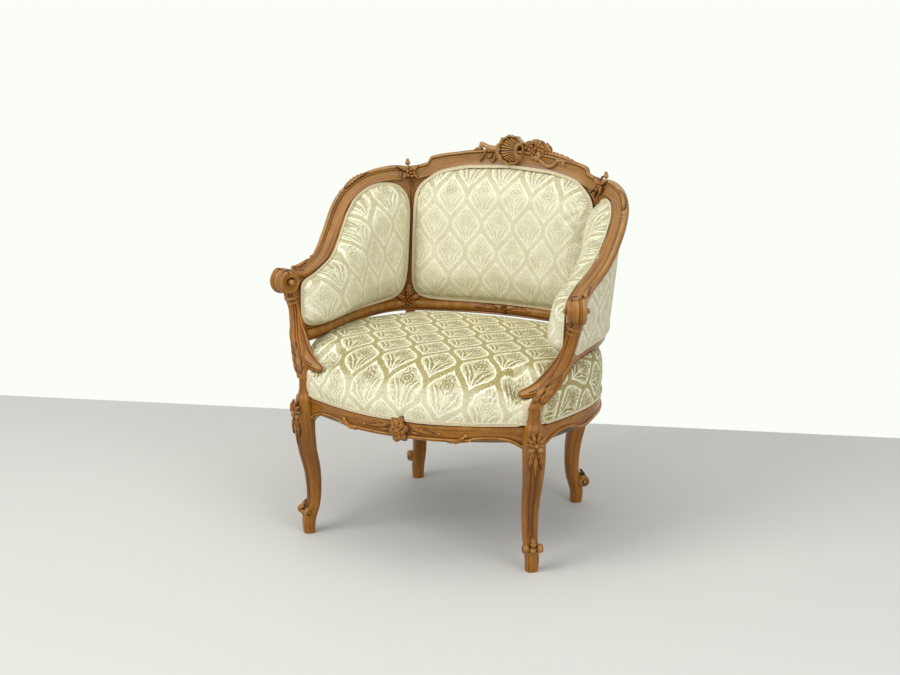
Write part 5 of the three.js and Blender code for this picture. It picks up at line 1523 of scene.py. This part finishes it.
def arm_carving(carving):
    """Adds the leaves on the right arm: at its scroll, along its outer edge and where the slope begins."""
    for index, heights, wide, tall, lobes in ARM_LEAVES:
        carving.leaf(*rail_run(top_frame, index, heights, 0.0125), wide * MM, tall * MM, lobes=lobes)
    for index, rise, size in ((9.45, 15, 5.2), (9.75, 14.5, 3.6), (14.95, 15, 3.6), (16.6, 16, 4.4)):
        carving.ball(on_rail(top_frame, [index], rise * MM, 0.0125)[0][0], size * MM)
    return carving


def lower_rail(start, stop, count):
    index = np.linspace(start, stop, count)
    place, _, across, face = lower_frame(index)
    return Carving().sweep(place, across, face, LOWER_PROFILE)


def lower_centre_carving(carving):
    """Adds the small flower and leaves in the middle of the lower back rail."""
    spot, side, out, along = (v[0] for v in on_rail(lower_frame, [0.0], 0.0, 0.0135))
    carving.flower(spot, along, side, out, 0.012, 0.006, petals=6)
    for way in (-1, 1):
        spread = np.linspace(way * 0.2, way * 1.1, 18)
        path, side, out, _ = on_rail(lower_frame, spread, np.interp(np.linspace(0, 1, 18), [0, 0.5, 1], [0, 0.003, -0.002]), 0.0125)
        carving.leaf(path, side, out, 0.0085, 0.004, lobes=4)
    return carving


def stile_foot_carving(carving):
    """Adds the leaf cluster where a stile meets the lower rail."""
    spot, side, out, along = (v[0] for v in on_rail(lower_frame, [4.0], 0.010, 0.0135))
    carving.flower(spot, along, side, out, 0.014, 0.008, petals=5)
    for angle, long in ((90, 0.044), (25, 0.036), (155, 0.036), (-30, 0.026), (210, 0.026)):
        way = along * math.cos(math.radians(angle)) + side * math.sin(math.radians(angle))
        t = np.linspace(0, 1, 16)[:, None]
        path = spot + way * (0.006 + long * t) - out * (0.002 + 0.001 * t)
        carving.leaf(path, np.repeat(np.cross(out, way)[None], 16, axis=0), np.repeat(out[None], 16, axis=0), 0.010, 0.006, lobes=4)
    return carving


LINING = plain_cloth("black_lining", "#1c1a19", "#37332f", 0.0011)
HESSIAN = plain_cloth("jute_hessian", "#86704a", "#bda479", 0.0022, attribute=None)
WEBBING = plain_cloth("jute_webbing", "#6e6448", "#a89b78", 0.0016, attribute=None)
STEEL = steel_wire()
BEECH = raw_beech()
for node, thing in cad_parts.items():
    finish = {"spring": STEEL, "webbing": WEBBING, "hessian": HESSIAN, "block": BEECH}
    for part, material in finish.items():
        if part in node:
            thing.data.materials.clear()
            thing.data.materials.append(material)

crest_carving(top_rail(-5.69, 5.69, 220)).make("crest_rail_carved", WALNUT, "walnut", ["crest_rail"])
front_rail_carving(seat_rail(-4.9, 4.9, 220)).make("front_seat_rail_carved", WALNUT, "walnut", ["front_seat_rail"])
seat_rail(12.1, 17.9, 60).make("rear_seat_rail_moulded", WALNUT, "walnut", ["rear_seat_rail"])
lower_centre_carving(lower_rail(-3.95, 3.95, 100)).make("rear_lower_rail_carved", WALNUT, "walnut", ["rear_lower_rail"])
for part, made in (
    ("arm_rail", arm_carving(arm_rail())), ("arm_post", arm_post()), ("front_leg", front_leg()),
    ("rear_leg_and_stile", stile_foot_carving(rear_leg())), ("seat_rail", seat_rail(5.05, 11.95, 140)),
    ("lower_rail", lower_rail(4.05, 11.95, 90)),
):
    made.make("right_" + part + "_carved", WALNUT, "walnut", ["right_" + part])
    made.mirrored().make("left_" + part + "_carved", WALNUT, "walnut", ["left_" + part])

cover = seat()
seat_gimps(cover)
dust_cover()
for name in BAYS:
    surround(name).make(name + "_bay_surround", WALNUT, "walnut")
    back_pad(name)
    edge_gimp(name)
    outside_panel(name)

# Camera, floor and soft light.
azimuth, elevation = math.radians(24.59), math.radians(14.53)
back = Vector((math.sin(azimuth) * math.cos(elevation), -math.cos(azimuth) * math.cos(elevation), math.sin(elevation)))
right = Vector((math.cos(azimuth), math.sin(azimuth), 0))
camera = bpy.data.objects.new("camera", bpy.data.cameras.new("camera"))
camera.data.lens, camera.data.sensor_width = 64.609, 36
camera.matrix_world = Matrix.Translation((1.569, -3.478 + SHIFT, 1.457)) @ Matrix((right, back.cross(right), back)).transposed().to_4x4()
bpy.context.scene.collection.objects.link(camera)
bpy.context.scene.camera = camera


def paint(name, tint, rough):
    s = Shader(name)
    drift = s.add("TexNoise", s.add("TexCoord", out=3), named={"Scale": 1.5, "Detail": 3.0})
    tone = s.add("MixRGB", drift, colour(tint), tuple(0.97 * c for c in colour(tint)[:3]) + (1,))
    return s.finish(Base_Color=tone, Roughness=rough)


def backdrop(name, corners, material):
    """A plain flat surface of the studio."""
    flat = bpy.data.meshes.new(name)
    flat.from_pydata(corners, [], [(0, 1, 2, 3)])
    flat.materials.append(material)
    surface = bpy.data.objects.new(name, flat)
    bpy.context.scene.collection.objects.link(surface)


# The floor ends where the room's wall would stand; the pale backdrop is beyond it.
backdrop("floor", [(-9, -9, 0), (9, -9, 0), (9, 3.36 + SHIFT, 0), (-9, -1.62 + SHIFT, 0)], paint("pale_floor", "#dedbd5", 0.7))


def lamp(name, place, aim, power, size, tint="#ffffff"):
    """A large soft lamp aimed at a point."""
    light = bpy.data.lights.new(name, "AREA")
    light.energy, light.shape, light.size, light.size_y = power, "RECTANGLE", size[0], size[1]
    light.color = colour(tint)[:3]
    thing = bpy.data.objects.new(name, light)
    thing.location = place
    thing.rotation_euler = (Vector(aim) - Vector(place)).to_track_quat("-Z", "Y").to_euler()
    bpy.context.scene.collection.objects.link(thing)


lamp("key", (-1.6, -2.6, 3.0), (0, 0, 0.5), 72, (2.2, 1.8), "#fcfffc")
lamp("fill", (2.8, -1.8, 2.2), (0, 0, 0.5), 38, (2.2, 2.2), "#fbfeff")
lamp("top", (0.1, -0.3, 3.4), (0, 0, 0.4), 27, (2.6, 2.2), "#fcffff")

world = bpy.data.worlds.new("studio")
bpy.context.scene.world = world
world.use_nodes = True
tree = world.node_tree
tree.nodes.clear()
path = tree.nodes.new("ShaderNodeLightPath")
either, also = (tree.nodes.new("ShaderNodeMath") for _ in range(2))
either.operation = also.operation = "MAXIMUM"
seen, lit, mixed = (tree.nodes.new("ShaderNodeBackground") for _ in range(2)), None, tree.nodes.new("ShaderNodeMixShader")
seen, lit = seen
seen.inputs[0].default_value, seen.inputs[1].default_value = colour("#fbfef7"), 1.0
lit.inputs[0].default_value, lit.inputs[1].default_value = colour("#f4f8fa"), 0.48
tree.links.new(path.outputs["Is Camera Ray"], either.inputs[0])
tree.links.new(path.outputs["Is Transmission Ray"], either.inputs[1])
tree.links.new(either.outputs[0], also.inputs[0])
tree.links.new(path.outputs["Is Glossy Ray"], also.inputs[1])
tree.links.new(also.outputs[0], mixed.inputs[0])
tree.links.new(lit.outputs[0], mixed.inputs[1])
tree.links.new(seen.outputs[0], mixed.inputs[2])
tree.links.new(mixed.outputs[0], tree.nodes.new("ShaderNodeOutputWorld").inputs[0])

bpy.context.scene.view_settings.view_transform = "Standard"
